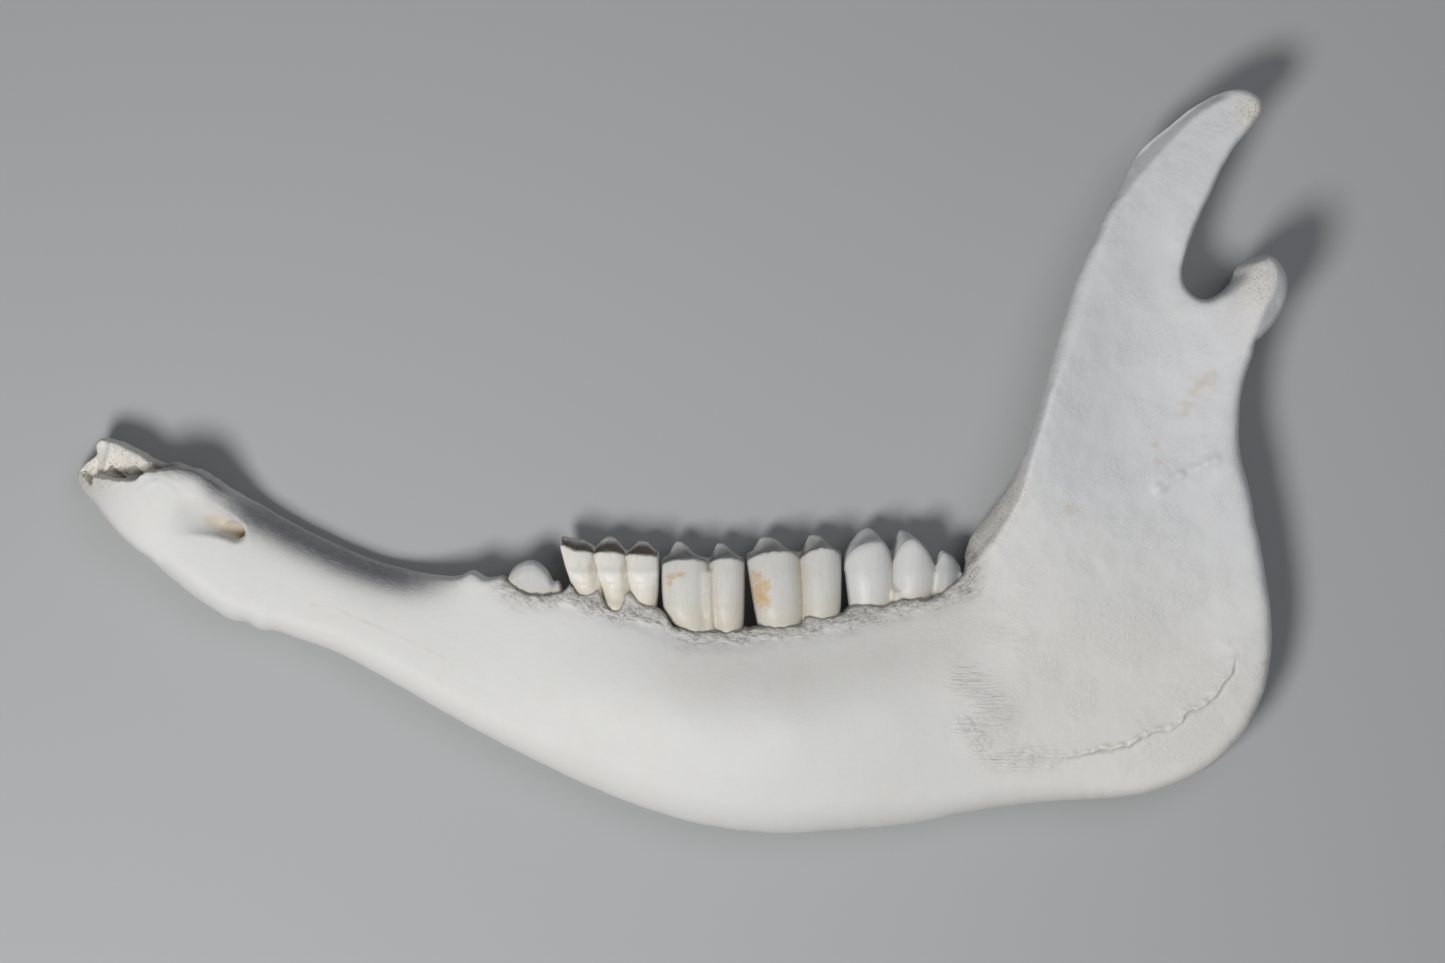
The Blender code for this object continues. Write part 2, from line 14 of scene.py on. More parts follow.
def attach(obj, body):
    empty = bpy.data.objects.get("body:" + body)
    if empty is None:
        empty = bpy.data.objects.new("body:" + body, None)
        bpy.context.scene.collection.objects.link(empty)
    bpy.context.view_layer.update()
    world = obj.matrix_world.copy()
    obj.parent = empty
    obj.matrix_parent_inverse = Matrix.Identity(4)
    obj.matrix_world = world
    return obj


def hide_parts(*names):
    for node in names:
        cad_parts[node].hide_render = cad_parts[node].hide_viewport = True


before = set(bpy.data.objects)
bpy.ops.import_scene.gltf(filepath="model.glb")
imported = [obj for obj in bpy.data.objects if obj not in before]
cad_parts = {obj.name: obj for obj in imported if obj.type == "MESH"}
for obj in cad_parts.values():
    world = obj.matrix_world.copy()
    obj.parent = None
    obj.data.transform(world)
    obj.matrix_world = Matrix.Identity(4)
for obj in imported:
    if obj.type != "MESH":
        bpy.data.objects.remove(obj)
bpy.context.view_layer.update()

MM = 0.001
DRAWING_ORIGIN = (-0.87, -0.98)
COARSE = 1.0

# Bone: measures

# Borders of the bone in order round the outline: edge radius, then landmarks.
BORDERS = (
    # labial wall of the incisor end, down to the chin
    (3.2, ((-190.3, -4.6), (-188.4, -8.6), (-184.3, -12.4), (-180.0, -17.6), (-175.0, -23.3), (-170.0, -27.6),
           (-165.3, -31.0))),
    # heel of the symphysis, with the lumps of the muscle mark
    (6.5, ((-160.6, -35.6), (-155.6, -39.9), (-147.0, -46.2), (-140.6, -50.0), (-136.2, -50.5),
           (-131.4, -53.1), (-126.6, -53.4), (-121.0, -55.3))),
    # lower border under the diastema
    (8.0, ((-109.5, -59.3), (-94.5, -66.9), (-79.5, -75.5), (-64.5, -84.0), (-49.5, -91.8))),
    # lower border of the body
    (10.5, ((-34.5, -99.1), (-14.5, -107.5), (5.5, -113.5), (30.5, -116.8), (50.5, -115.9), (70.5, -114.4))),
    # shallow notch for the facial vessels
    (8.0, ((85.5, -111.6), (100.5, -108.7), (120.5, -106.5))),
    # angle of the jaw
    (4.5, ((141.0, -104.9), (151.0, -102.6), (165.9, -95.3), (173.8, -87.8), (179.2, -79.9), (183.5, -68.4))),
    # rear border of the ramus
    (5.0, ((185.0, -53.3), (182.3, -31.0), (179.8, -19.5), (177.7, -8.3), (174.8, 3.0), (174.5, 14.2))),
    # neck below the condyle
    (4.5, ((176.0, 25.5), (178.3, 33.0))),
    # condyle, round from the rear to the notch
    (3.0, ((178.9, 36.9), (180.7, 38.2), (186.2, 44.6), (188.4, 51.0), (188.2, 56.6), (186.4, 60.6),
           (184.2, 63.0), (181.6, 63.9), (178.2, 63.2), (174.9, 61.4), (173.7, 59.6), (173.5, 57.8),
           (171.6, 55.2))),
    # mandibular notch
    (3.0, ((168.0, 52.1), (163.3, 50.2), (159.2, 52.2), (156.6, 57.2))),
    # rear edge of the coronoid process
    (2.8, ((158.3, 66.7), (164.4, 81.4), (171.6, 96.0), (177.4, 103.4), (180.4, 108.0), (180.2, 111.4),
           (176.8, 114.3))),
    # front edge of the coronoid process
    (2.6, ((171.6, 114.9), (165.2, 112.8), (159.0, 109.2), (152.4, 104.0), (145.6, 98.4), (141.6, 93.2),
           (137.9, 86.1), (132.6, 76.4), (130.0, 70.2))),
    # front border of the ramus
    (5.0, ((124.8, 59.2), (117.7, 36.7))),
    # medial edge of the strip behind the last tooth
    (2.4, ((113.4, 20.6), (111.1, 12.3), (107.7, 2.0), (103.6, -7.3), (97.3, -16.7), (92.8, -22.2),
           (90.6, -26.8))),
    # alveolar border of the cheek teeth, rising between the roots of the milk premolar
    (1.5, ((90.0, -31.2), (88.8, -35.0), (86.2, -37.6), (83.3, -39.7), (79.8, -42.0), (76.0, -42.8),
           (70.4, -43.0), (66.6, -43.8), (63.4, -45.2), (59.5, -44.4), (53.6, -45.2), (50.4, -47.8),
           (44.6, -48.4), (39.6, -48.2), (37.8, -50.8), (31.0, -51.4), (24.8, -51.4), (20.8, -52.0),
           (15.8, -52.8), (8.5, -52.8), (2.0, -52.2), (-1.9, -50.6), (-4.4, -47.0), (-6.6, -45.6),
           (-11.7, -43.5), (-14.6, -40.9),
           (-16.4, -40.4), (-17.4, -44.0), (-18.8, -46.2), (-21.6, -45.4), (-23.6, -42.4), (-25.2, -39.4),
           (-27.0, -40.8), (-31.0, -41.0), (-33.6, -38.0), (-36.4, -40.6), (-44.6, -41.4), (-48.9, -40.4),
           (-53.0, -37.2))),
    # upper border of the diastema, with the small knob before the teeth
    (2.2, ((-55.4, -35.9), (-60.2, -36.2), (-64.5, -34.0), (-68.6, -35.6), (-74.5, -35.8), (-94.5, -31.7),
           (-114.5, -23.4), (-129.5, -15.3), (-140.4, -8.6))),
    # lingual wall of the incisor sockets, broken and ragged
    (1.5, ((-149.4, -2.5), (-153.8, -1.6), (-157.4, -0.2), (-161.4, -0.8), (-164.5, 0.8), (-169.2, 3.6),
           (-174.8, 6.1), (-178.8, 7.4), (-181.2, 7.4), (-183.0, 5.2), (-182.9, 2.9), (-185.0, 0.8),
           (-188.0, -1.2), (-189.8, -3.2))),
)

# Thickness landmarks: place, then the heights of the inner and the outer face.
FACES = (
    # incisor end and symphysis
    (-189, -5, 1.5, 10.5), (-184, -10, 1.2, 17.5), (-181, -3, 1.5, 20.5), (-176, -17, 1.0, 22.5),
    (-170, -8, 1.0, 25.8), (-158, -14, 0.6, 25.6), (-160, -28, 0.6, 23.5),
    (-146, -20, 0.6, 22.5), (-138, -42, -0.3, 20.0), (-128, -28, 1.2, 20.0), (-122, -48, 0.6, 18.5),
    # body under the diastema
    (-105, -38, 2.0, 19.5), (-100, -56, 2.0, 19.5), (-78, -46, 3.0, 20.0), (-76, -66, 2.5, 20.5),
    (-52, -48, 4.0, 22.0), (-52, -76, 3.0, 22.0),
    # body under the cheek teeth
    (-28, -52, 4.5, 24.0), (-26, -74, 3.5, 26.0), (-22, -94, 3.5, 22.5), (2, -58, 4.5, 25.0),
    (2, -80, 3.5, 29.0), (6, -104, 3.0, 24.0), (34, -60, 4.5, 25.0), (36, -82, 3.0, 30.5),
    (36, -106, 1.5, 24.5), (64, -54, 4.8, 24.8), (66, -78, 2.0, 29.0), (74, -103, -0.5, 23.0),
    (86, -42, 6.0, 25.0), (94, -70, 4.0, 27.5), (100, -98, 1.0, 22.5),
    # lower ramus and angle
    (98, -22, 9.0, 28.0), (116, -45, 8.0, 27.5), (122, -80, 5.0, 25.0), (126, -98, 4.0, 23.0),
    (146, -60, 10.0, 25.0), (154, -88, 8.5, 24.5), (174, -68, 12.5, 25.0), (176, -40, 14.0, 26.0),
    # upper ramus
    (112, -2, 12.0, 31.0), (132, -15, 13.0, 27.0), (155, -15, 14.0, 25.0), (118, 25, 15.0, 31.0),
    (140, 15, 16.0, 26.0), (168, 12, 16.0, 27.5), (126, 48, 17.0, 30.0), (145, 42, 17.5, 26.5),
    (167, 36, 15.0, 29.0), (171, 46, 12.5, 33.0), (179, 50, 6.0, 37.6),
    # coronoid process
    (136, 66, 18.5, 28.5), (152, 64, 19.0, 26.5), (148, 88, 20.5, 28.0), (160, 98, 22.0, 28.5),
    (174, 109, 24.0, 31.0),
)

# Rim of the labial wall of the incisor sockets, from the tip backward.
RIM = ((-191.0, -2.6), (-188.2, -3.5), (-186.8, -4.6), (-185.0, -6.6), (-183.6, -7.5), (-183.2, -4.7),
       (-180.0, -5.2), (-176.4, -5.8), (-170.8, -6.4), (-168.2, -5.8), (-167.2, -4.6), (-165.0, -3.4),
       (-161.0, -3.1), (-157.5, -2.5), (-150.0, -2.5))
TROUGH_SHARE = 0.64
TROUGH_SLOPE = 0.40
MARGIN_HEIGHT = 23.2
LEAST_THICKNESS = 0.8
SOCKET_WALLS = (-180.5, -172.5)
LEFT_RIM = ((-181.4, 7.0), (-183.0, 4.4), (-185.2, 0.6), (-188.4, -1.8), (-190.0, -4.4))

# Broad swellings and hollows of the outer face: lift, half width, landmarks.
SWELLINGS = (
    (0.9, 5.0, ((175.0, -58.0), (168.0, -73.0), (153.5, -83.0), (134.0, -90.5), (104.0, -92.0),
                (92.0, -84.0))),
    (0.5, 5.5, ((150.0, -7.0), (157.0, -4.0), (167.5, 0.5))),
    (0.7, 6.5, ((92.0, -36.0), (101.0, -22.0), (107.0, -8.0), (114.0, 14.0), (120.0, 40.0))),
    (-1.6, 14.0, ((128.0, -70.0), (145.0, -70.0), (160.0, -55.0))),
    (-0.8, 13.0, ((132.0, 5.0), (142.0, 30.0), (150.0, 55.0))),
)
DIASTEMA_EDGE = ((-149.4, -2.5), (-140.4, -8.6), (-129.5, -15.3), (-114.5, -23.4), (-94.5, -31.7),
                 (-74.5, -35.8), (-64.5, -34.0))
MASSETER_LINE = ((174.0, -57.9), (172.2, -63.8), (169.7, -69.1), (165.0, -75.0), (159.1, -77.8),
                 (153.8, -82.7), (147.9, -84.3), (142.1, -86.8), (136.8, -89.3), (130.9, -89.9),
                 (124.1, -91.4), (118.2, -92.4), (111.3, -91.1), (105.4, -91.4), (98.6, -91.4),
                 (94.3, -86.5), (89.3, -81.5))
TENDON_RIDGE = ((149.5, -8.3), (153.9, -5.2), (159.8, -2.7), (163.2, -0.8), (166.6, 0.4))
TENDON_KNOTS = ((149.4, -8.4, 1.5, 0.8), (132.0, -31.2, 1.6, 0.6), (170.0, -56.6, 1.4, 0.55),
                (156.2, -4.4, 1.2, 0.4), (164.0, -0.4, 1.3, 0.4), (120.3, -8.3, 2.6, 0.45),
                (172.6, -61.0, 1.1, 0.4), (166.0, -71.4, 1.2, 0.4), (148.6, 1.4, 1.0, 0.3))
FRONT_CREST = ((89.3, -34.6), (96.7, -26.9), (102.9, -17.6), (107.9, -6.4), (111.3, 7.9), (116.0, 24.0))
BEVEL_LINE = ((172.4, 112.8), (168.5, 111.4), (162.5, 108.0), (156.8, 103.3), (152.0, 98.3), (147.2, 92.9),
              (142.6, 87.4), (137.6, 80.6), (134.0, 75.0))
FORAMEN_GROOVE = ((-157.0, -15.6), (-150.0, -17.2), (-145.0, -18.6), (-141.0, -20.4), (-138.0, -22.2))
ALVEOLAR_LINE = ((91.0, -30.0), (89.0, -38.6), (79.0, -42.6), (66.0, -45.0), (52.0, -48.6), (38.0, -51.4),
                 (20.0, -53.0), (4.0, -53.2), (-4.0, -50.0), (-12.0, -47.0), (-24.0, -44.4), (-34.8, -41.5),
                 (-46.0, -42.2), (-54.0, -37.6))
ROSTRAL_LINE = ((-188.0, -4.0), (-178.0, -1.0), (-166.0, -3.0), (-152.0, -3.6))
TORN_EDGE = ((-161.0, -1.0), (-155.0, -1.6), (-149.0, -3.6), (-144.0, -7.6))
CRACK_LINE = ((-114.9, -44.8), (-107.7, -45.7), (-101.5, -48.5), (-90.0, -53.2), (-72.8, -61.3))
FIBRE_PATCH = ((89.0, -68.0), (95.0, -73.0), (101.0, -79.0))
FAINT_FIBRES = ((97.0, -54.0), (108.0, -55.0))

MARGIN_X, MARGIN_Y = (list(reversed(values)) for values in zip(*ALVEOLAR_LINE[1:]))

# Where the surface has small forms and the mesh is close, and where it is closest: reach, then a line.
FINE_ZONES = ((7.5, ALVEOLAR_LINE), (10.0, ROSTRAL_LINE), (8.0, FORAMEN_GROOVE), (3.6, MASSETER_LINE),
              (4.2, TENDON_RIDGE), (5.0, FRONT_CREST), (4.6, BEVEL_LINE),
              (13.0, ((178.0, 46.0), (182.0, 58.0))), (5.5, ((174.0, 108.0), (179.0, 111.0))))
FINEST_ZONES = ((3.4, ALVEOLAR_LINE), (3.2, MASSETER_LINE), (8.0, FIBRE_PATCH), (1.0, CRACK_LINE),
                (2.6, RIM[3:-1]), (5.0, FAINT_FIBRES))

# Rough patches: height, half width, size of the grain, its octaves and seed, and a line.
OUTER_PATCHES = (
    # fine fibres where the masseter's field meets the body, and the ragged incisor end
    (0.34, 5.6, (6.0, 0.7, 1.0), 2, 5.0, FIBRE_PATCH),
    (0.08, 4.0, (7.0, 0.7, 1.0), 2, 5.5, FAINT_FIBRES),
    (0.35, 6.0, (2.6, 1.4, 1.0), 3, 7.0, ROSTRAL_LINE),
)
INNER_PATCHES = (
    # symphysis, and the pterygoid's hold at the angle
    (0.55, 13.0, (4.0, 2.2, 1.0), 3, 11.0, ((-178.0, -9.0), (-160.0, -22.0), (-142.0, -36.0))),
    (0.35, 12.0, (7.0, 1.6, 1.0), 2, 13.0, ((160.0, -66.0), (140.0, -78.0))),
)
NERVE_GROOVE = ((128.0, -2.0), (116.0, -22.0), (104.0, -42.0), (88.0, -60.0))
PTERYGOID_LINE = ((176.0, -50.0), (166.0, -74.0), (148.0, -90.0), (126.0, -94.0))
MYLOHYOID_LINE = ((84.0, -56.0), (50.0, -66.0), (10.0, -68.0), (-30.0, -60.0))

# Heights, depths and slopes of the small forms.
CREST_HEIGHT, CREST_PLACE, CREST_HALF = 0.80, -0.8, 0.9
GROOVE_DEPTH, GROOVE_PLACE, GROOVE_HALF = 0.65, 0.4, 0.45
FIELD_STEP = 0.30
RIDGE_HEIGHT, RIDGE_HALF = 1.05, 1.6
STRIP_SLOPE, STRIP_WIDTH = 1.9, 9.5
# the bevel's grey share is painted shade laid on the coronoid's bevel
BEVEL_SLOPE, BEVEL_WIDTH, BEVEL_SHADE = 1.2, 5.4, 0.15
LEDGE_DROP, LEDGE_WIDTH = 12.5, 3.9
SCOOP_DEPTH = 4.6
MARGIN_FIBRES, MARGIN_THINNING = 0.44, 0.35
FACET_SLOPE, FACET_WIDTH = 1.05, 6.0

CONDYLE_CENTRE = (180.4, 50.9)
CONDYLE_TURN = math.radians(-11.0)
CONDYLE_REACH = 24.0
# Edge between the porous outer end of the condyle and its smooth joint face.
JOINT_EDGE = ((180.0, 65.0), (183.4, 57.6), (182.7, 52.6), (180.2, 48.0), (178.0, 42.4), (176.6, 36.6))

# Sockets of the four incisors: mouth, bottom and radius, from the midline outward.
INCISOR_SOCKETS = (
    ((-184.6, -3.0, 12.6), (-173.0, -13.0, 8.0), 1.5),
    ((-178.6, -2.2, 15.6), (-167.0, -13.0, 10.5), 1.7),
    ((-171.8, -2.8, 17.6), (-161.0, -13.0, 12.0), 2.3),
    ((-165.0, -0.8, 19.6), (-155.0, -12.0, 13.5), 1.6),
)
MENTAL_FORAMEN = ((-146.0, -19.6, 24.6, 2.6), (-142.0, -20.4, 20.6, 3.1), (-138.6, -21.6, 16.6, 2.9),
                  (-135.0, -23.0, 13.6, 2.2), (-130.0, -25.0, 11.0, 1.7))
MANDIBULAR_FORAMEN = ((131.0, 5.0, 6.0, 4.6), (126.0, -5.0, 13.0, 4.2), (121.0, -14.0, 18.5, 3.0),
                      (117.0, -20.0, 20.5, 1.6))

# Middle line of the bone, which the fibres of its surface follow.
BONE_RUN = ((-192.0, -4.0), (-160.0, -20.0), (-120.0, -39.0), (-70.0, -60.0), (-20.0, -77.0), (30.0, -84.0),
            (75.0, -78.0), (112.0, -58.0), (134.0, -28.0), (143.0, 5.0), (146.0, 40.0), (152.0, 80.0),
            (174.0, 111.0))

# Teeth: measures. Levels go up the tooth: height along Y, front, back, lingual and buccal face.
# Lobe edges are shares of the length. Each lobe has a buccal top: height, fall at its edges and lead;
# and a lingual cusp: height, fall, lead, half width and how blunt it is. A lead shifts the top back.
# A pillar is a column in the buccal fold: place, top, half width. Fold is the depth of the buccal folds,
# and flare deepens them toward the root. Round is the radius of the upper edge. Worn is the share of wear,
# brown the share of the inner slope that is bare dentine, and front a lift of the front end. Back_set and
# lean say how far the buccal face lies back at the middle of each lobe and at the rear end. A tooth that
# is still coming through has a crest, the profile of its top, in place of lobe tops and cusps.
TEETH = {
    "erupting_premolar": {
        "lobes": (0.0, 0.8, 1.0), "fold": 0.9, "round": 3.4, "worn": 0.0, "front": 0.0, "pillar": None,
        "levels": ((-52.0, -50.6, -41.0, 9.5, 18.0), (-44.0, -54.2, -36.4, 9.0, 19.8),
                   (-42.4, -54.6, -36.2, 9.0, 20.2)),
        "crest": ((-54.6, -38.8), (-53.0, -35.0), (-50.0, -32.0), (-46.2, -30.9), (-43.2, -32.2),
                  (-40.8, -34.6), (-39.2, -37.5), (-38.2, -37.0), (-37.0, -37.2), (-36.2, -39.8)),
    },
    "milk_premolar": {
        "lobes": (0.0, 0.344, 0.665, 1.0), "fold": 1.5, "round": 0.4, "worn": 1.0, "front": 2.6,
        "pillar": None, "flare": 1.3, "brown": 1.0,
        "levels": ((-57.0, -31.4, -9.0, 9.4, 20.0), (-47.4, -32.6, -7.0, 9.0, 21.8),
                   (-41.8, -32.7, -6.4, 8.8, 22.0), (-38.6, -33.5, -6.2, 8.4, 22.0),
                   (-37.4, -34.0, -6.2, 8.0, 22.8), (-34.8, -34.8, -6.1, 8.0, 22.9),
                   (-32.6, -35.6, -6.1, 8.2, 22.1), (-29.6, -37.2, -6.1, 9.0, 21.2)),
        "buccal": ((-28.0, 0.7, 0.0), (-28.3, 0.8, 0.0), (-29.3, 0.6, 0.0)),
        "lingual": ((-24.9, 1.4, 0.0, 0.9, 2.4), (-23.8, 3.4, -0.08, 0.72, 3.4),
                    (-25.2, 3.4, 0.0, 0.62, 2.8)),
    },
    "molar_1": {
        "lobes": (0.0, 0.57, 1.0), "fold": 3.8, "round": 0.5, "worn": 1.0, "front": 0.0,
        "pillar": (9.6, -33.0, 2.2), "brown": 0.4,
        "levels": ((-65.0, 2.0, 18.6, 8.4, 19.8), (-52.8, -0.8, 20.1, 8.0, 21.9),
                   (-50.0, -2.8, 20.5, 7.6, 22.3), (-45.6, -4.9, 20.6, 7.2, 22.6),
                   (-37.0, -5.4, 20.7, 7.4, 22.2), (-31.6, -5.5, 20.7, 8.6, 21.2)),
        "buccal": ((-30.6, 1.6, 0.1), (-30.1, 1.7, 0.0)),
        "lingual": ((-25.2, 5.0, -0.30, 0.46, 2.5), (-25.7, 4.8, -0.45, 0.56, 2.4)),
    },
    "molar_2": {
        "lobes": (0.0, 0.56, 1.0), "fold": 4.2, "round": 0.5, "worn": 0.85, "front": 0.0,
        "pillar": None, "brown": 0.3,
        "levels": ((-63.0, 26.0, 48.4, 8.2, 19.8), (-51.8, 24.6, 49.8, 7.8, 21.9),
                   (-48.6, 24.2, 50.2, 7.4, 22.3), (-45.6, 23.6, 50.9, 6.8, 22.6),
                   (-36.0, 22.0, 51.1, 7.0, 22.3), (-30.6, 21.3, 51.1, 8.2, 21.2)),
        "buccal": ((-28.2, 2.7, 0.32), (-27.1, 2.6, 0.2)),
        "lingual": ((-23.8, 5.0, -0.30, 0.54, 3.2), (-23.0, 5.2, -0.42, 0.58, 3.0)),
    },
    "molar_3": {
        "lobes": (0.0, 0.41, 0.777, 1.0), "fold": 4.2, "round": 2.8, "worn": 0.0, "front": 0.0,
        "pillar": (68.5, -39.4, 2.2), "back_set": (0.0, 0.3, 2.0), "lean": 3.4,
        "levels": ((-57.0, 54.6, 84.0, 8.4, 19.8), (-44.0, 53.2, 87.0, 8.0, 21.6),
                   (-39.0, 52.6, 88.2, 7.4, 22.3), (-35.0, 52.1, 88.8, 7.2, 22.6),
                   (-31.6, 51.6, 88.8, 7.8, 22.0)),
        "buccal": ((-24.3, 4.7, 0.42), (-23.5, 5.4, -0.12), (-28.2, 4.4, -0.4)),
        "lingual": ((-20.9, 7.0, 0.02, 0.78, 2.3), (-21.9, 6.4, -0.58, 0.75, 2.2),
                    (-31.0, 3.0, -0.4, 0.9, 2.0)),
    },
}
SOCKET_GAP = 0.22
WALL_STEP, CHEWING_STEP = 0.6 * COARSE, 0.42 * COARSE
END_BULGE = 0.35
INNER_FOLD = 0.36
# Chewing surface: pits of the crescents, ridges beside them, and the valley of an unworn tooth.
PIT_HALF, PIT_DEPTH = 0.9, 1.5
RIDGE_PLACE, PIT_RIDGE_HALF = 1.6, 0.45
VALLEY_DEPTH = 2.2


# Shape helpers

def run_along(points):
    """Length run from the first of a row of points to each of them."""
    return np.concatenate(([0.0], np.cumsum(np.linalg.norm(np.diff(points, axis=0), axis=1))))


def closed_line(loop):
    """The places of an outline with the first one again at the end."""
    return np.vstack((loop[:, :2], loop[:1, :2]))


def inward_of(loop):
    """Unit vectors square to an outline, pointing into it."""
    ahead = np.roll(loop[:, :2], -1, axis=0) - np.roll(loop[:, :2], 1, axis=0)
    return np.column_stack((-ahead[:, 1], ahead[:, 0])) / np.linalg.norm(ahead, axis=1)[:, None]


def spline(points, values, step, closed):
    """Centripetal spline through the landmarks, sampled evenly, with one value carried along."""
    p = np.array(points, float)
    v = np.array(values, float)
    n = len(p)
    if not closed:
        p = np.vstack((2 * p[0] - p[1], p, 2 * p[-1] - p[-2]))
        v = np.concatenate((v[:1], v, v[-1:]))
    fine = []
    for i in range(n if closed else n - 1):
        ids = [(i + k) % n for k in (-1, 0, 1, 2)] if closed else [i, i + 1, i + 2, i + 3]
        a, b, c, d = (p[k] for k in ids)
        ta, tb, tc = (math.sqrt(np.linalg.norm(e)) for e in (b - a, c - b, d - c))
        mb = (c - b) / tb - (c - a) / (ta + tb) + (b - a) / ta
        mc = (d - c) / tc - (d - b) / (tb + tc) + (c - b) / tb
        for t in np.linspace(0.0, 1.0, 24, endpoint=False):
            h = t * t * (3.0 - 2.0 * t)
            place = b + (c - b) * h + tb * (t * (1.0 - t) ** 2 * mb - t * t * (1.0 - t) * mc)
            fine.append((*place, v[ids[1]] + (v[ids[2]] - v[ids[1]]) * h))
    fine.append(fine[0] if closed else (*p[-2], v[-2]))
    fine = np.array(fine)
    run = run_along(fine[:, :2])
    count = int(round(run[-1] / step)) + (0 if closed else 1)
    at = np.linspace(0.0, run[-1], count, endpoint=not closed)
    return np.column_stack([np.interp(at, run, fine[:, k]) for k in range(3)])


def curve(points, step=1.5):
    """The places of a smooth open line through landmarks."""
    return spline(points, np.zeros(len(points)), step, False)[:, :2]


def measure(x, y, line):
    """Distance from each place to an open line, the length run along it, and the side: + on its left."""
    line = np.asarray(line, float)
    best = np.full(x.shape, 1e9)
    along = np.zeros(x.shape)
    side = np.ones(x.shape)
    run = 0.0
    for a, b in zip(line[:-1], line[1:]):
        d = b - a
        size = max(math.hypot(*d), 1e-9)
        t = np.clip(((x - a[0]) * d[0] + (y - a[1]) * d[1]) / size ** 2, 0.0, 1.0)
        r = np.hypot(x - a[0] - t * d[0], y - a[1] - t * d[1])
        near = r < best
        best = np.where(near, r, best)
        along = np.where(near, run + t * size, along)
        side = np.where(near, np.sign(d[0] * (y - a[1]) - d[1] * (x - a[0])), side)
        run += size
    return best, along, side


def beside(x, y, marks):
    """Distance from the smooth line through landmarks, the length run along it, and the signed distance."""
    away, along, side = measure(x, y, curve(marks))
    return away, along, away * side


def bell(distance, width):
    return np.exp(-(distance / width) ** 2)


def band(x, y, line, width):
    """One on a line, fading to both sides over the width."""
    return bell(measure(x, y, line)[0], width)


def rise(value, start, end):
    """Nought up to start, one from end, smooth between."""
    t = np.clip((value - start) / (end - start), 0.0, 1.0)
    return t * t * (3.0 - 2.0 * t)


def stretch(along, start, full, fade, end):
    """One along part of a line, from full to fade, and nought before start and after end."""
    return rise(along, start, full) * (1.0 - rise(along, fade, end))


def clouds(x, y, z, size, octaves, seed):
    """Fractal noise of about -1 to 1, with forms of the given size."""
    sizes = np.broadcast_to(size, (3,)).astype(float)
    px = np.broadcast_to(x, np.shape(x)) / sizes[0] + seed
    py = np.broadcast_to(y, np.shape(x)) / sizes[1] - seed
    pz = np.broadcast_to(z, np.shape(x)) / sizes[2] + 2.0 * seed
    return np.array([noise.fractal(Vector(p), 0.9, 2.0, octaves) for p in zip(px, py, pz)])


def soft_max(a, b, width):
    return width * np.logaddexp(a / width, b / width)


class Sheet:
    """Thin-plate surface through scattered landmarks."""

    def __init__(self, x, y, z):
        self.x = np.array(x, float)
        self.y = np.array(y, float)
        n = len(self.x)
        a = np.zeros((n + 3, n + 3))
        a[:n, :n] = self.kernel(self.x, self.y) + 6.0 * np.eye(n)
        a[:n, n] = 1.0
        a[:n, n + 1] = self.x
        a[:n, n + 2] = self.y
        a[n:, :n] = a[:n, n:].T
        self.w = np.linalg.solve(a, np.concatenate((np.array(z, float), np.zeros(3))))

    def kernel(self, x, y):
        r2 = (x[:, None] - self.x[None, :]) ** 2 + (y[:, None] - self.y[None, :]) ** 2
        return 0.5 * r2 * np.log(np.maximum(r2, 1e-9))

    def __call__(self, x, y):
        n = len(self.x)
        return self.kernel(x, y) @ self.w[:n] + self.w[n] + self.w[n + 1] * x + self.w[n + 2] * y


def lattice(low, high, step):
    rows = np.arange(low[1], high[1], step * 0.866)
    cols = np.arange(low[0], high[0], step)
    return np.array([(c + (k % 2) * step / 2, r) for k, r in enumerate(rows) for c in cols])


def inside(spots, outline):
    hits = np.zeros(len(spots), bool)
    ends = np.roll(outline, -1, axis=0)
    for a, b in zip(outline[:, :2], ends[:, :2]):
        if a[1] != b[1]:
            cut = a[0] + (spots[:, 1] - a[1]) * (b[0] - a[0]) / (b[1] - a[1])
            hits ^= ((a[1] > spots[:, 1]) != (b[1] > spots[:, 1])) & (spots[:, 0] < cut)
    return hits


def fill(outline, inner, keep_ears=False):
    """Triangles over a closed outline and inner places; ears wholly on the outline are left off."""
    n = len(outline)
    pts = [Vector(p[:2]) for p in np.vstack((outline[:, :2], inner))]
    rim = [(i, (i + 1) % n) for i in range(n)]
    out = delaunay_2d_cdt(pts, rim, [list(range(n))], 1, 1e-6)
    places = np.array([tuple(v) for v in out[0]])
    source = np.array([ids[0] if ids else -1 for ids in out[3]])
    on_rim = (source >= 0) & (source < n)
    tris = np.array(out[2], int)
    if not keep_ears:
        tris = tris[~on_rim[tris].all(axis=1)]
    used = np.unique(tris)
    index = np.full(len(places), -1)
    index[used] = np.arange(len(used))
    return places[used], np.where(on_rim, source, -1)[used], index[tris]


def make_object(name, verts, faces):
    """Mesh object in the row's frame from drawing points in mm, every face turned outward."""
    mesh = bpy.data.meshes.new(name)
    v = np.asarray(verts, float)
    placed = np.column_stack((v[:, 0] - DRAWING_ORIGIN[0], v[:, 1] - DRAWING_ORIGIN[1], v[:, 2])) * MM
    mesh.from_pydata(placed.tolist(), [], [list(map(int, f)) for f in faces])
    bm = bmesh.new()
    bm.from_mesh(mesh)
    bmesh.ops.triangulate(bm, faces=bm.faces[:])
    bmesh.ops.recalc_face_normals(bm, faces=bm.faces[:])
    bm.to_mesh(mesh)
    bm.free()
    obj = bpy.data.objects.new(name, mesh)
    bpy.context.scene.collection.objects.link(obj)
    return obj


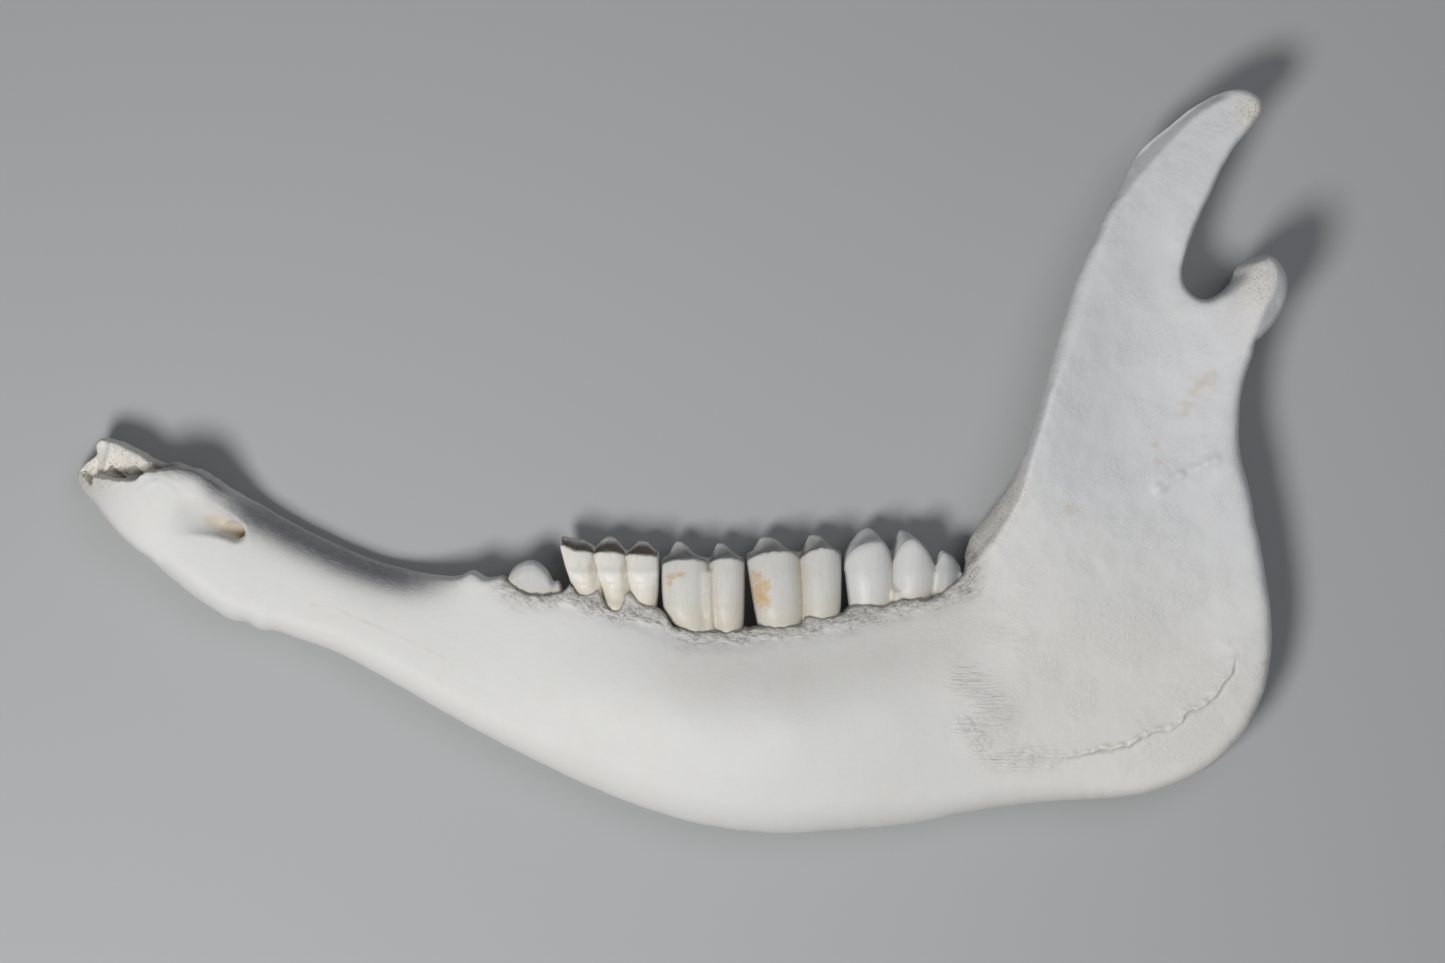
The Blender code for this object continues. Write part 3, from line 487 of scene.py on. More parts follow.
def along_bone(x, y):
    """Run along the bone's middle line and place across it, both smooth from place to place."""
    line = curve(BONE_RUN, 6.0)
    ahead = np.gradient(line, axis=0)
    ahead /= np.linalg.norm(ahead, axis=1)[:, None]
    total, along, across = np.zeros((3, *x.shape))
    for (px, py), (tx, ty), run in zip(line, ahead, run_along(line)):
        weight = 1.0 / ((x - px) ** 2 + (y - py) ** 2 + 60.0) ** 3
        total += weight
        along += weight * (run + (x - px) * tx + (y - py) * ty)
        across += weight * (tx * (y - py) - ty * (x - px))
    return along / total, across / total


def coordinates(obj):
    co = np.empty(len(obj.data.vertices) * 3)
    obj.data.vertices.foreach_get("co", co)
    return co


def drawing_places(obj):
    """Vertices of an object as drawing points in mm, and their normals."""
    co = coordinates(obj).reshape(-1, 3) / MM
    normals = np.empty(co.size)
    obj.data.vertex_normals.foreach_get("vector", normals)
    return co[:, 0] + DRAWING_ORIGIN[0], co[:, 1] + DRAWING_ORIGIN[1], co[:, 2], normals.reshape(-1, 3)


def keep(obj, name, values):
    """Stores one number for each vertex, which the materials and the relief read."""
    layer = obj.data.attributes.new(name, "FLOAT", "POINT")
    layer.data.foreach_set("value", np.asarray(values, np.float32))


def solidify_result(obj):
    """Replaces the mesh by its evaluated form and drops the modifiers."""
    deps = bpy.context.evaluated_depsgraph_get()
    mesh = bpy.data.meshes.new_from_object(obj.evaluated_get(deps))
    obj.modifiers.clear()
    old = obj.data
    obj.data = mesh
    bpy.data.meshes.remove(old)
    mesh.name = obj.name


# Bone: shape

# Places of the mesh: angles round its edge, then steps of the grid, from plain places to the closest.
EDGE_ANGLES = (4.0, 11.0, 19.0, 28.0, 38.0, 49.0, 61.0, 75.0)
MESH_STEPS = (1.75 * COARSE, 0.82 * COARSE, 0.5 * COARSE)
OUTLINE_STEP = 0.75 * COARSE
TUBE_STEP, TUBE_SIDES = 1.1, 28


def bone_outline():
    """The outline at a close step, thinned where the border is plain: x, y and edge radius."""
    marks = [p for radius, line in BORDERS for p in line]
    radii = [radius for radius, line in BORDERS for p in line]
    loop = spline(marks, radii, OUTLINE_STEP, True)
    x, y = loop[:, :2].T
    torn = 0.42 * (band(x, y, ROSTRAL_LINE, 8.0) + band(x, y, ALVEOLAR_LINE, 3.0))
    shift = (0.10 + torn) * clouds(x, y, 0.0, 2.2, 3, 4.0) + 0.16 * clouds(x, y, 0.0, 9.0, 2, 9.0)
    loop[:, :2] += inward_of(loop) * shift[:, None]
    kept = (closeness(x, y) > 0) | (np.arange(len(loop)) % 2 == 0)
    return loop[kept]


def closeness(x, y):
    """How close the mesh has to be at each place: 0, 1 or 2."""
    level = np.zeros(x.shape, int)
    for number, zones in ((1, FINE_ZONES), (2, FINEST_ZONES)):
        for reach, line in zones:
            level[measure(x, y, line)[0] < reach] = number
    return level


def condyle_faces(x, y):
    """Heights of the outer and the inner end of the condyle over each place."""
    dx = x - CONDYLE_CENTRE[0]
    dy = y - CONDYLE_CENTRE[1]
    u = dx * math.cos(CONDYLE_TURN) + dy * math.sin(CONDYLE_TURN)
    v = dy * math.cos(CONDYLE_TURN) - dx * math.sin(CONDYLE_TURN)
    r = np.hypot((u + 1.4) / 7.9, (v - 0.6) / 13.2)
    top = 29.0 + 10.2 * np.exp(-0.7 * r ** 3.0) - 3.0 * np.maximum(r - 1.6, 0.0)
    r = np.hypot((u + 0.3) / 8.0, v / 13.4)
    bottom = 9.0 - 9.2 * (1.0 - np.minimum(r, 1.0) ** 3.0) ** 0.36 + 22.0 * np.maximum(r - 1.0, 0.0)
    return top, bottom


def wander(x, y):
    """Slow wave that keeps the ridges of the bone from running straight."""
    return 0.9 * clouds(x, y, 0.0, 4.2, 3, 1.0)


def masseter_seam(x, y):
    """Share of the thin groove along the edge of the masseter's field, which gets painted shade."""
    along, signed = beside(x, y, MASSETER_LINE)[1:]
    broken = np.clip(0.65 + 0.7 * clouds(x, y, 0.0, 7.0, 2, 2.5), 0.1, 1.0)
    groove = bell(signed + wander(x, y) - GROOVE_PLACE, GROOVE_HALF)
    return stretch(along, 0.0, 8.0, 66.0, 88.0) * groove * broken


def masseter_front(along, signed):
    """Share of the fibrous front end of the masseter's line."""
    return stretch(along, 56.0, 84.0, 112.0, 126.0) * bell(signed - 1.0, 4.4)


def foramen_scoop(x, y):
    """Depth of the fan that leads into the mental foramen."""
    away, along = beside(x, y, FORAMEN_GROOVE)[:2]
    half = 7.4 - 0.20 * along
    return SCOOP_DEPTH * rise(along, -2.0, 16.0) * np.maximum(1.0 - (away / half) ** 2, 0.0) ** 1.15


def rough_patches(x, y, rows):
    """Lift of the patches whose grain is made by noise."""
    return sum(height * band(x, y, line, half) * clouds(x, y, 0.0, size, octaves, seed)
               for height, half, size, octaves, seed, line in rows)


def outer_relief(x, y):
    """Small forms of the outer face, in mm above the broad shape."""
    lift = rough_patches(x, y, OUTER_PATCHES)
    wave = wander(x, y)
    # edge of the masseter's field: a broken crest with a step down inside it, and its fibrous front end
    along, signed = beside(x, y, MASSETER_LINE)[1:]
    signed = signed + wave
    ends = stretch(along, 0.0, 10.0, 96.0, 112.0) * (1.0 - 0.75 * rise(along, 56.0, 80.0))
    beads = 0.5 + 0.75 * clouds(x, y, 0.0, 2.2, 2, 2.0)
    lift += ends * CREST_HEIGHT * beads * bell(signed - CREST_PLACE, CREST_HALF)
    lift -= ends * GROOVE_DEPTH * bell(signed - GROOVE_PLACE, GROOVE_HALF)
    lift -= ends * FIELD_STEP * rise(signed, 0.0, 1.0) * bell(signed - 1.0, 3.4)
    strips = 0.42 * clouds(along, signed, 0.0, (5.0, 0.8, 1.0), 2, 6.5)
    lift += masseter_front(along, signed) * (strips + 0.35 * clouds(x, y, 0.0, 3.0, 2, 6.8))
    # ridge of a tendon below the condyle, and small knots
    signed = beside(x, y, TENDON_RIDGE)[2]
    lumps = 0.7 + 0.6 * clouds(x, y, 0.0, 2.4, 2, 3.0)
    lift += RIDGE_HEIGHT * lumps * bell(signed + 0.4 * wave, RIDGE_HALF)
    for knot_x, knot_y, half, height in TENDON_KNOTS:
        lift += height * bell(np.hypot(x - knot_x, y - knot_y), half)
    # soft unevenness of the ramus
    lift += 0.26 * rise(y + 0.35 * x, -20.0, 10.0) * clouds(x, y, 0.0, (5.0, 6.5, 1.0), 3, 5.8)
    # crest before the ramus, and the strip behind the last tooth falling away from it
    away, along, signed = beside(x, y, FRONT_CREST)
    near = 1.0 - rise(away, 11.0, 14.0)
    beyond = np.maximum(signed, 0.0)
    fall = STRIP_SLOPE * np.minimum(beyond, STRIP_WIDTH) * rise(beyond, 0.0, 2.0)
    lift -= near * stretch(along, -0.5, 5.0, 26.0, 54.0) * fall
    lift += near * stretch(along, 2.0, 8.0, 26.0, 54.0) * 0.15 * bell(away, 1.6)
    # bevel along the front edge of the coronoid process
    along, signed = beside(x, y, BEVEL_LINE)[1:]
    beyond = np.maximum(0.25 * wave - signed, 0.0)
    lift -= stretch(along, 0.0, 4.0, 40.0, 54.0) * BEVEL_SLOPE * np.minimum(beyond, BEVEL_WIDTH)
    # face that drops to a ledge along the upper edge of the diastema
    away, along = beside(x, y, DIASTEMA_EDGE)[:2]
    run = stretch(along, 2.0, 24.0, 62.0, 94.0)
    ripple = 0.35 * clouds(x, y, 0.0, (3.0, 9.0, 1.0), 2, 17.0)
    lift -= run * LEDGE_DROP * np.exp(-np.maximum(away + ripple - 1.1, 0.0) / LEDGE_WIDTH)
    lift += run * 0.45 * bell(away - 0.8, 1.6) * clouds(along, away, 0.0, (4.0, 0.8, 1.0), 2, 18.0)
    # fan-shaped hollow that deepens into the mental foramen
    lift -= foramen_scoop(x, y)
    # ragged fibres above the tooth row's edge, which thins toward the teeth
    away = measure(x, y, ALVEOLAR_LINE)[0]
    along, across = along_bone(x, y)
    fibres = clouds(along, across + 0.25 * along, 0.0, (4.2, 1.15, 1.0), 3, 6.0)
    lift += MARGIN_FIBRES * bell(away, 4.2) * fibres
    lift -= MARGIN_THINNING * bell(away - 3.6, 1.8) * (0.6 + 0.5 * clouds(x, y, 0.0, 6.0, 2, 8.0))
    return lift


def inner_relief(x, y):
    """Small forms of the inner face, in mm above the broad shape: + goes into the bone."""
    lift = rough_patches(x, y, INNER_PATCHES)
    # groove of the mylohyoid nerve, down and forward from the mandibular foramen
    away, along = beside(x, y, NERVE_GROOVE)[:2]
    lift += 0.9 * (1.0 - rise(along, 40.0, 74.0)) * bell(away, 2.0)
    lumps = 0.7 + 0.6 * clouds(x, y, 0.0, 3.0, 2, 12.0)
    lift -= 0.5 * (lumps * band(x, y, curve(PTERYGOID_LINE), 1.8) + band(x, y, curve(MYLOHYOID_LINE), 3.0))
    lift -= 0.35 * band(x, y, ALVEOLAR_LINE, 3.0) * clouds(x, y, 5.0, (1.5, 3.4, 1.0), 3, 14.0)
    return lift


def open_trough(x, y, high):
    """The outer face with the open trough of the incisor sockets sunk behind the labial rim."""
    above = y - np.interp(x, *zip(*RIM)) + 0.3 * clouds(x, y, 0.0, 1.8, 2, 15.0)
    share = rise(above, -0.1, 1.3) * (1.0 - rise(x, -160.0, -151.0))
    share = share * rise(measure(x, y, LEFT_RIM)[0], 0.5, 1.9)
    floor = TROUGH_SHARE * high + TROUGH_SLOPE * np.clip(above, 0.0, 12.0)
    floor = floor + 0.45 * clouds(x, y, 0.0, 2.4, 3, 16.0)
    floor = floor - 4.0 * bell(np.hypot((x + 171.5) / 1.5, y + 4.4), 2.6)
    for wall_x in SOCKET_WALLS:
        floor = floor + 0.9 * bell(x - wall_x - 0.3 * above, 1.1)
    return high + (np.minimum(floor, high) - high) * share


def beyond_joint_edge(x, y):
    """Distance past the edge of the smooth joint face; well below nought away from the condyle."""
    near = np.hypot(x - CONDYLE_CENTRE[0], y - CONDYLE_CENTRE[1]) < CONDYLE_REACH
    return np.where(near, beside(x, y, JOINT_EDGE)[2], -CONDYLE_REACH)


def bone_faces(x, y):
    """Heights of the inner and the outer face, before the edge of the bone is rounded."""
    marks = np.array(FACES, float).T
    low, high = (Sheet(marks[0], marks[1], heights)(x, y) for heights in marks[2:])
    for lift, width, line in SWELLINGS:
        high = high + lift * band(x, y, line, width)
    high = high - np.maximum(high - MARGIN_HEIGHT, 0.0) * 0.9 * band(x, y, ALVEOLAR_LINE, 4.4)
    high = open_trough(x, y, high + outer_relief(x, y))
    low = low + inner_relief(x, y)
    top, bottom = condyle_faces(x, y)
    high = np.where(top > 5.0, soft_max(high, top, 2.2), high)
    beyond = np.clip(beyond_joint_edge(x, y), 0.0, FACET_WIDTH)
    high = high - FACET_SLOPE * beyond * rise(y, 34.0, 39.0)
    low = np.where(bottom < 35.0, -soft_max(-low, -bottom, 1.3), low)
    return low, np.maximum(high, low + LEAST_THICKNESS)


def bone_plate():
    """Two faces over one outline, meeting in a rounded edge."""
    outline = bone_outline()
    closed = closed_line(outline)
    inward = inward_of(outline)
    inner = []
    for angle in EDGE_ANGLES:
        depth = outline[:, 2] * (1.0 - math.cos(math.radians(angle)))
        spots = outline[:, :2] + inward * depth[:, None]
        away = measure(spots[:, 0], spots[:, 1], closed)[0]
        inner.append(spots[away > depth * 0.96])
    span = (outline[:, :2].min(axis=0), outline[:, :2].max(axis=0))
    for close, step in enumerate(MESH_STEPS):
        grid = lattice(*span, step)
        grid = grid[inside(grid, outline)]
        grid = grid[closeness(grid[:, 0], grid[:, 1]) == close]
        away = measure(grid[:, 0], grid[:, 1], closed)[0]
        inner.append(grid[away > depth[nearest(grid, outline)] + 0.5 * step])
    places, source, tris = fill(outline, np.vstack(inner))
    x, y = places.T
    rim = source >= 0
    depth = np.where(rim, 0.0, measure(x, y, closed)[0])
    lower, upper = plate_heights(x, y, depth, outline)
    under = np.where(rim, np.arange(len(x)), len(x) + np.cumsum(~rim) - 1)
    verts = np.vstack((np.column_stack((x, y, upper)), np.column_stack((x, y, lower))[~rim]))
    faces = np.vstack((tris, under[tris][:, ::-1]))
    return make_object("jawbone_surface", verts, faces), outline


def plate_heights(x, y, depth, outline):
    """Heights of the lower and the upper side at places that lie a depth inside the outline."""
    edge = edge_radius(np.column_stack((x, y)), outline)
    low, high = bone_faces(x, y)
    middle = 0.5 * (low + high)
    power = 2.0 + 0.9 * bell(np.hypot(x - CONDYLE_CENTRE[0], y - CONDYLE_CENTRE[1]), 17.0)
    power = power + 2.5 * band(x, y, ALVEOLAR_LINE, 4.0)
    share = np.clip(depth / edge, 0.0, 1.0)
    swell = (1.0 - (1.0 - share) ** power) ** (1.0 / power)
    return np.maximum(middle + (low - middle) * swell, 0.0), middle + (high - middle) * swell


def nearest(spots, outline):
    """Number of the outline point nearest to each place."""
    best = np.full(len(spots), 1e9)
    which = np.zeros(len(spots), int)
    for k, p in enumerate(outline[:, :2]):
        r = np.hypot(spots[:, 0] - p[0], spots[:, 1] - p[1])
        nearer = r < best
        best[nearer] = r[nearer]
        which[nearer] = k
    return which


def edge_radius(spots, outline):
    """Edge radius at each place, blended from the outline points close to it."""
    total = np.zeros(len(spots))
    weight = np.zeros(len(spots))
    for px, py, radius in outline[::4]:
        w = 1.0 / ((spots[:, 0] - px) ** 2 + (spots[:, 1] - py) ** 2 + 4.0) ** 3
        total += w * radius
        weight += w
    return total / weight


def skin(count, n):
    """Faces between rings that follow one another, each with n points."""
    return [(k * n + i, k * n + (i + 1) % n, (k + 1) * n + (i + 1) % n, (k + 1) * n + i)
            for k in range(count - 1) for i in range(n)]


def loft(name, rings, jitter):
    """Closed body through rings with the same number of points, its surface made a little uneven."""
    rings = np.asarray(rings, float)
    count, n = rings.shape[:2]
    verts = rings.reshape(-1, 3)
    out = verts - np.repeat(rings.mean(axis=1), n, axis=0)
    uneven = jitter * clouds(*verts.T, 2.4, 2, 21.0)
    verts = verts + out * (uneven / np.linalg.norm(out, axis=1))[:, None]
    faces = skin(count, n)
    verts = np.vstack((verts, rings[0].mean(axis=0), rings[-1].mean(axis=0)))
    for k, hub in ((0, count * n), (count - 1, count * n + 1)):
        faces += [(k * n + i, k * n + (i + 1) % n, hub) for i in range(n)]
    return make_object(name, verts, faces)


def tube(name, path, jitter):
    """Tapered canal through centre points, each with its radius."""
    path = np.array(path, float)
    run = run_along(path[:, :3])
    at = np.linspace(0.0, run[-1], int(run[-1] / TUBE_STEP) + 2)
    fine = np.column_stack([np.interp(at, run, path[:, k]) for k in range(4)])
    for _ in range(3):
        fine[1:-1] = 0.25 * fine[:-2] + 0.5 * fine[1:-1] + 0.25 * fine[2:]
    turns = np.linspace(0.0, 2.0 * math.pi, TUBE_SIDES, endpoint=False)
    rings = []
    for k, here in enumerate(fine):
        ahead = Vector(fine[min(k + 1, len(fine) - 1)][:3] - fine[max(k - 1, 0)][:3]).normalized()
        side = ahead.cross(Vector((0.13, 0.31, 1.0))).normalized()
        circle = np.outer(np.cos(turns), side) + np.outer(np.sin(turns), ahead.cross(side))
        rings.append(here[:3] + here[3] * circle)
    return loft(name, rings, jitter)


def cut(bone, tool):
    step = bone.modifiers.new("cut " + tool.name, "BOOLEAN")
    step.operation = "DIFFERENCE"
    step.solver = "MANIFOLD"
    step.object = tool


def build_bone():
    bone, outline = bone_plate()
    tools = []
    for k, (mouth, bottom, radius) in enumerate(INCISOR_SOCKETS):
        middle = 0.5 * (Vector(mouth) + Vector(bottom))
        path = ((*mouth, radius * 1.15), (*middle, radius), (*bottom, radius * 0.45))
        tools.append(tube("incisor_socket_" + str(k + 1), path, 0.35))
    tools.append(tube("mental_foramen", MENTAL_FORAMEN, 0.15))
    tools.append(tube("mandibular_foramen", MANDIBULAR_FORAMEN, 0.25))
    tools += [socket_tool(name, spec) for name, spec in TEETH.items()]
    for tool in tools:
        cut(bone, tool)
    solidify_result(bone)
    for tool in tools:
        mesh = tool.data
        bpy.data.objects.remove(tool)
        bpy.data.meshes.remove(mesh)
    return bone, outline


# Teeth: shape

def lobe_place(s, lobes):
    """Number of the lobe at each share of the length, and the place across it from -1 to 1."""
    lobes = np.array(lobes)
    which = np.clip(np.searchsorted(lobes, s, side="left") - 1, 0, len(lobes) - 2)
    across = 2.0 * (s - lobes[which]) / (lobes[which + 1] - lobes[which]) - 1.0
    return which, np.clip(across, -1.0, 1.0)


def lobe_middles(lobes):
    return [0.5 * (a + b) for a, b in zip(lobes[:-1], lobes[1:])]


def set_back(spec, shares):
    """How far the buccal face lies behind its plane at each share of the length."""
    if "back_set" not in spec:
        return np.zeros(shares.shape)
    places = (0.0, *lobe_middles(spec["lobes"]), 1.0)
    return np.interp(shares, places, (0.0, *spec["back_set"], spec["lean"]))


def tooth_ring(spec, level, steps, grow=0.0, fold_share=1.0, pillar=True):
    """Outline of a tooth at one level, buccal side first: x, z."""
    y, front, back, lingual, buccal = level
    lobes = spec["lobes"]
    turn = 0.5 - 0.5 * np.cos(np.pi * np.arange(steps) / steps)
    shares = np.concatenate([a + (b - a) * turn for a, b in zip(lobes[:-1], lobes[1:])] + [[1.0]])
    swell = (1.0 - np.abs(lobe_place(shares, lobes)[1]) ** 2.25) ** 0.68
    fold = spec["fold"] * fold_share * (1.0 + spec.get("flare", 0.0) * rise(-y, 34.0, 39.0))
    x = front - grow + (back - front + 2.0 * grow) * shares
    outer = buccal + grow - fold * (1.0 - swell) - set_back(spec, shares)
    if pillar and spec["pillar"]:
        middle, top, half = spec["pillar"]
        tall = math.sqrt(min(max((top - y) / 1.6, 0.0), 1.0))
        outer = np.maximum(outer, buccal + grow - fold * (1.0 - 0.86 * tall * bell(x - middle, half)))
    inner = lingual - grow + INNER_FOLD * fold * (1.0 - swell)
    x = np.clip(x, x[0] + END_BULGE, x[-1] - END_BULGE)
    wall = np.linspace(0.0, 1.0, 9)[1:-1]
    bulge = END_BULGE * (1.0 - (2.0 * wall - 1.0) ** 2)
    rear = np.column_stack((x[-1] + bulge, outer[-1] + (inner[-1] - outer[-1]) * wall))
    fore = np.column_stack((x[0] - bulge, inner[0] + (outer[0] - inner[0]) * wall))
    return np.vstack((np.column_stack((x, outer)), rear, np.column_stack((x, inner))[::-1], fore))


def rounded(edge, radius):
    """How far a surface has fallen at a distance inside its rounded edge."""
    return radius * (1.0 - np.sqrt(1.0 - (1.0 - np.clip(edge / radius, 0.0, 1.0)) ** 2))


def chewing_face(spec, x, z, edge):
    """Height of the chewing surface, and how far each place is dentine, a pit or a lingual cusp."""
    front, back, lingual, buccal = spec["levels"][-1][1:]
    uneven = clouds(x, 0.0, z, 1.7, 3, 31.0 + front)
    if "crest" in spec:
        crest = curve(spec["crest"], 0.4)
        height = np.interp(x, crest[:, 0], crest[:, 1]) - rounded(edge, spec["round"]) + 0.15 * uneven
        return (height, *np.zeros((3, len(x))))
    s = np.clip((x - front) / (back - front), 0.0, 1.0)
    wide = buccal - set_back(spec, s) - lingual
    v = np.clip((lingual + wide - z) / wide, 0.0, 1.0)
    centres = lobe_middles(spec["lobes"])
    which, across = lobe_place(s, spec["lobes"])

    def across_from(lead):
        away = across - lead
        return np.abs(np.where(away > 0.0, away / (1.0 - lead), away / (1.0 + lead)))

    # outer edge of the lobes, and the inner cusps with the slope up to them
    top, fall, lead = np.array(spec["buccal"]).T
    outer = np.interp(s, centres, top) - np.interp(s, centres, fall) * across_from(lead[which]) ** 2.4
    top, fall, lead, half, blunt = np.array(spec["lingual"]).T
    drop = 1.0 - np.exp(-(across_from(lead[which]) / half[which]) ** blunt[which])
    drop /= 1.0 - np.exp(-(1.0 / half[which]) ** blunt[which])
    inner = np.interp(s, centres, top) - np.interp(s, centres, fall) * drop
    height = outer + (inner - outer) * rise(v, 0.46, 0.80)
    height += spec["front"] * np.maximum(0.0, 1.0 - s / 0.16)
    # crescents: a pit along each lobe, a ridge beside it, and worn dentine between
    worn = spec["worn"]
    off = np.abs(v - 0.30 - 0.12 * across ** 2) * wide
    window = 1.0 - rise(np.abs(across), 0.55, 0.88)
    pit = window * bell(off, PIT_HALF)
    beside_pit = window * bell(off - RIDGE_PLACE, PIT_RIDGE_HALF)
    slope = rise(v, 0.42, 0.56)
    basin = worn * rise(edge, 0.55, 1.0) * (1.0 - pit) * (1.0 - beside_pit)
    basin *= (1.0 - 0.88 * slope * (1.0 - spec.get("brown", 0.1))) * (1.0 - rise(v, 0.64, 0.73))
    height += worn * (0.35 * (beside_pit + bell(edge - 0.5, 0.4)) - PIT_DEPTH * pit - 0.25 * basin)
    height -= (1.0 - worn) * VALLEY_DEPTH * bell(off, 1.7)
    height -= 0.9 * worn * rise(np.abs(across), 0.78, 1.0) * rise(edge, 0.5, 2.0)
    height += (0.10 + 0.16 * worn) * uneven - rounded(edge, spec["round"])
    return height, basin, pit, slope * (1.0 - 0.8 * rise(v, 0.66, 0.79))


def catmull(stack, at):
    """Smooth curve through a stack of rings, read at a fractional number."""
    k = min(int(at), len(stack) - 2)
    t = at - k
    a = stack[max(k - 1, 0)]
    b = stack[k]
    c = stack[k + 1]
    d = stack[min(k + 2, len(stack) - 1)]
    linear = b + (c - b) * t
    square = (2 * a - 5 * b + 4 * c - d) * t * t
    bent = 0.5 * (2 * b + (c - a) * t + square + (3 * b - a - 3 * c + d) * t ** 3)
    return 0.35 * linear + 0.65 * bent


def tooth_wall(spec, last, top, steps):
    """Rings from the root to the edge of the chewing surface, with the column in the buccal fold."""
    n = len(last)
    stack = []
    for level in spec["levels"][:-1]:
        ring = tooth_ring(spec, level, steps)
        stack.append(np.column_stack((ring[:, 0], np.full(n, level[0]), ring[:, 1])))
    stack.append(np.column_stack((last[:, 0], top, last[:, 1])))
    rings = []
    for k in range(len(stack) - 1):
        tall = np.mean(stack[k + 1][:, 1] - stack[k][:, 1])
        count = max(2, int(tall / WALL_STEP))
        rings += [catmull(stack, k + t) for t in np.linspace(0.0, 1.0, count, endpoint=False)]
    rings.append(stack[-1])
    if spec["pillar"]:
        middle, crest, half = spec["pillar"]
        outer = outer_side(spec, n, steps)
        for ring in rings:
            s = (ring[:, 0] - middle) / half
            tall = np.sqrt(np.clip((crest - ring[:, 1]) / 1.4, 0.0, 1.0))
            swell = 0.84 * tall * np.sqrt(np.clip(1.0 - s * s, 0.0, 1.0))
            column = np.max(ring[:, 2]) - spec["fold"] * (1.0 - swell)
            there = outer & (np.abs(s) < 1.0) & (tall > 0.0)
            ring[:, 2] = np.where(there, np.maximum(ring[:, 2], column), ring[:, 2])
    return rings


def outer_side(spec, n, steps):
    """Which points of a ring lie on the buccal side."""
    return np.arange(n) < (len(spec["lobes"]) - 1) * steps + 1


def build_tooth(name, spec):
    steps = 16
    level, front, back = spec["levels"][-1][:3]
    last = tooth_ring(spec, spec["levels"][-1], steps)
    n = len(last)
    top = chewing_face(spec, last[:, 0], last[:, 1], np.zeros(n))[0]
    rings = tooth_wall(spec, last, top, steps)
    verts = np.vstack(rings)
    faces = skin(len(rings), n)
    # chewing surface, sewn to the last ring, and the flat end of the root
    closed = closed_line(last)
    grid = lattice(last.min(axis=0), last.max(axis=0), CHEWING_STEP)
    away = measure(grid[:, 0], grid[:, 1], closed)[0]
    places, source, tris = fill(last, grid[(away > 0.24) & inside(grid, last)], keep_ears=True)
    edge = np.where(source >= 0, 0.0, measure(places[:, 0], places[:, 1], closed)[0])
    height, basin, pit, cusp = chewing_face(spec, places[:, 0], places[:, 1], edge)
    new = source < 0
    index = np.where(new, len(verts) + np.cumsum(new) - 1, (len(rings) - 1) * n + source)
    added = np.column_stack((places[:, 0], height, places[:, 1]))[new]
    faces += [tuple(index[f]) for f in tris]
    faces += [(i, (i + 1) % n, len(verts) + len(added)) for i in range(n)]
    every = np.vstack((verts, added, rings[0].mean(axis=0)))

    # what each place of the surface is like
    across = np.abs(lobe_place(np.clip((verts[:, 0] - front) / (back - front), 0.0, 1.0), spec["lobes"])[1])
    gap = np.minimum(verts[:, 0] - front, back - verts[:, 0])
    fold = rise(across, 0.62, 1.0) * rise(gap, 1.5, 3.0) * np.tile(outer_side(spec, n, steps), len(rings))
    neck = np.interp(every[:, 0], MARGIN_X, MARGIN_Y)
    wall = np.zeros(len(verts))
    tooth = make_object(name + "_crown", every, faces)
    for label, on_wall, on_top in (("worn", wall, basin), ("pit", wall, pit), ("cusp", wall, cusp),
                                   ("edge", wall + 9.0, edge), ("fold", fold, 0.0 * edge)):
        keep(tooth, label, np.concatenate((on_wall, on_top[new], [0.0])))
    keep(tooth, "tall", np.clip((every[:, 1] - neck) / (level + 2.0 - neck), 0.0, 1.0))
    keep(tooth, "rough", 0.8 * bell(every[:, 1] - neck - 1.0, 1.3))
    return tooth


def socket_tool(name, spec):
    """The tooth with a gap round it, carried up past the alveolar border."""
    levels = np.array(spec["levels"])
    rings = []
    for y in np.arange(levels[0][0] - SOCKET_GAP, levels[-1][0] + 6.0, 0.8):
        level = [np.interp(y, levels[:, 0], levels[:, k]) for k in range(5)]
        ring = tooth_ring(spec, level, 8, SOCKET_GAP, 0.97, pillar=False)
        rings.append(np.column_stack((ring[:, 0], np.full(len(ring), y), ring[:, 1])))
    return loft("socket_" + name, rings, 0.12)


# Node trees

def maths(operation, swapped=False):
    """Makes the method by which an operator adds a Math node."""
    def act(wire, other):
        pair = (other, wire) if swapped else (wire, other)
        return wire.bench.sum_up(operation, *pair)

    return act


class Wire:
    """One output socket of a node; sums and products of wires add Math nodes to its tree."""

    def __init__(self, bench, socket):
        self.bench = bench
        self.socket = socket

    __add__ = maths("ADD")
    __radd__ = maths("ADD")
    __sub__ = maths("SUBTRACT")
    __rsub__ = maths("SUBTRACT", swapped=True)
    __mul__ = maths("MULTIPLY")
    __rmul__ = maths("MULTIPLY")
    __truediv__ = maths("DIVIDE")
    __rtruediv__ = maths("DIVIDE", swapped=True)


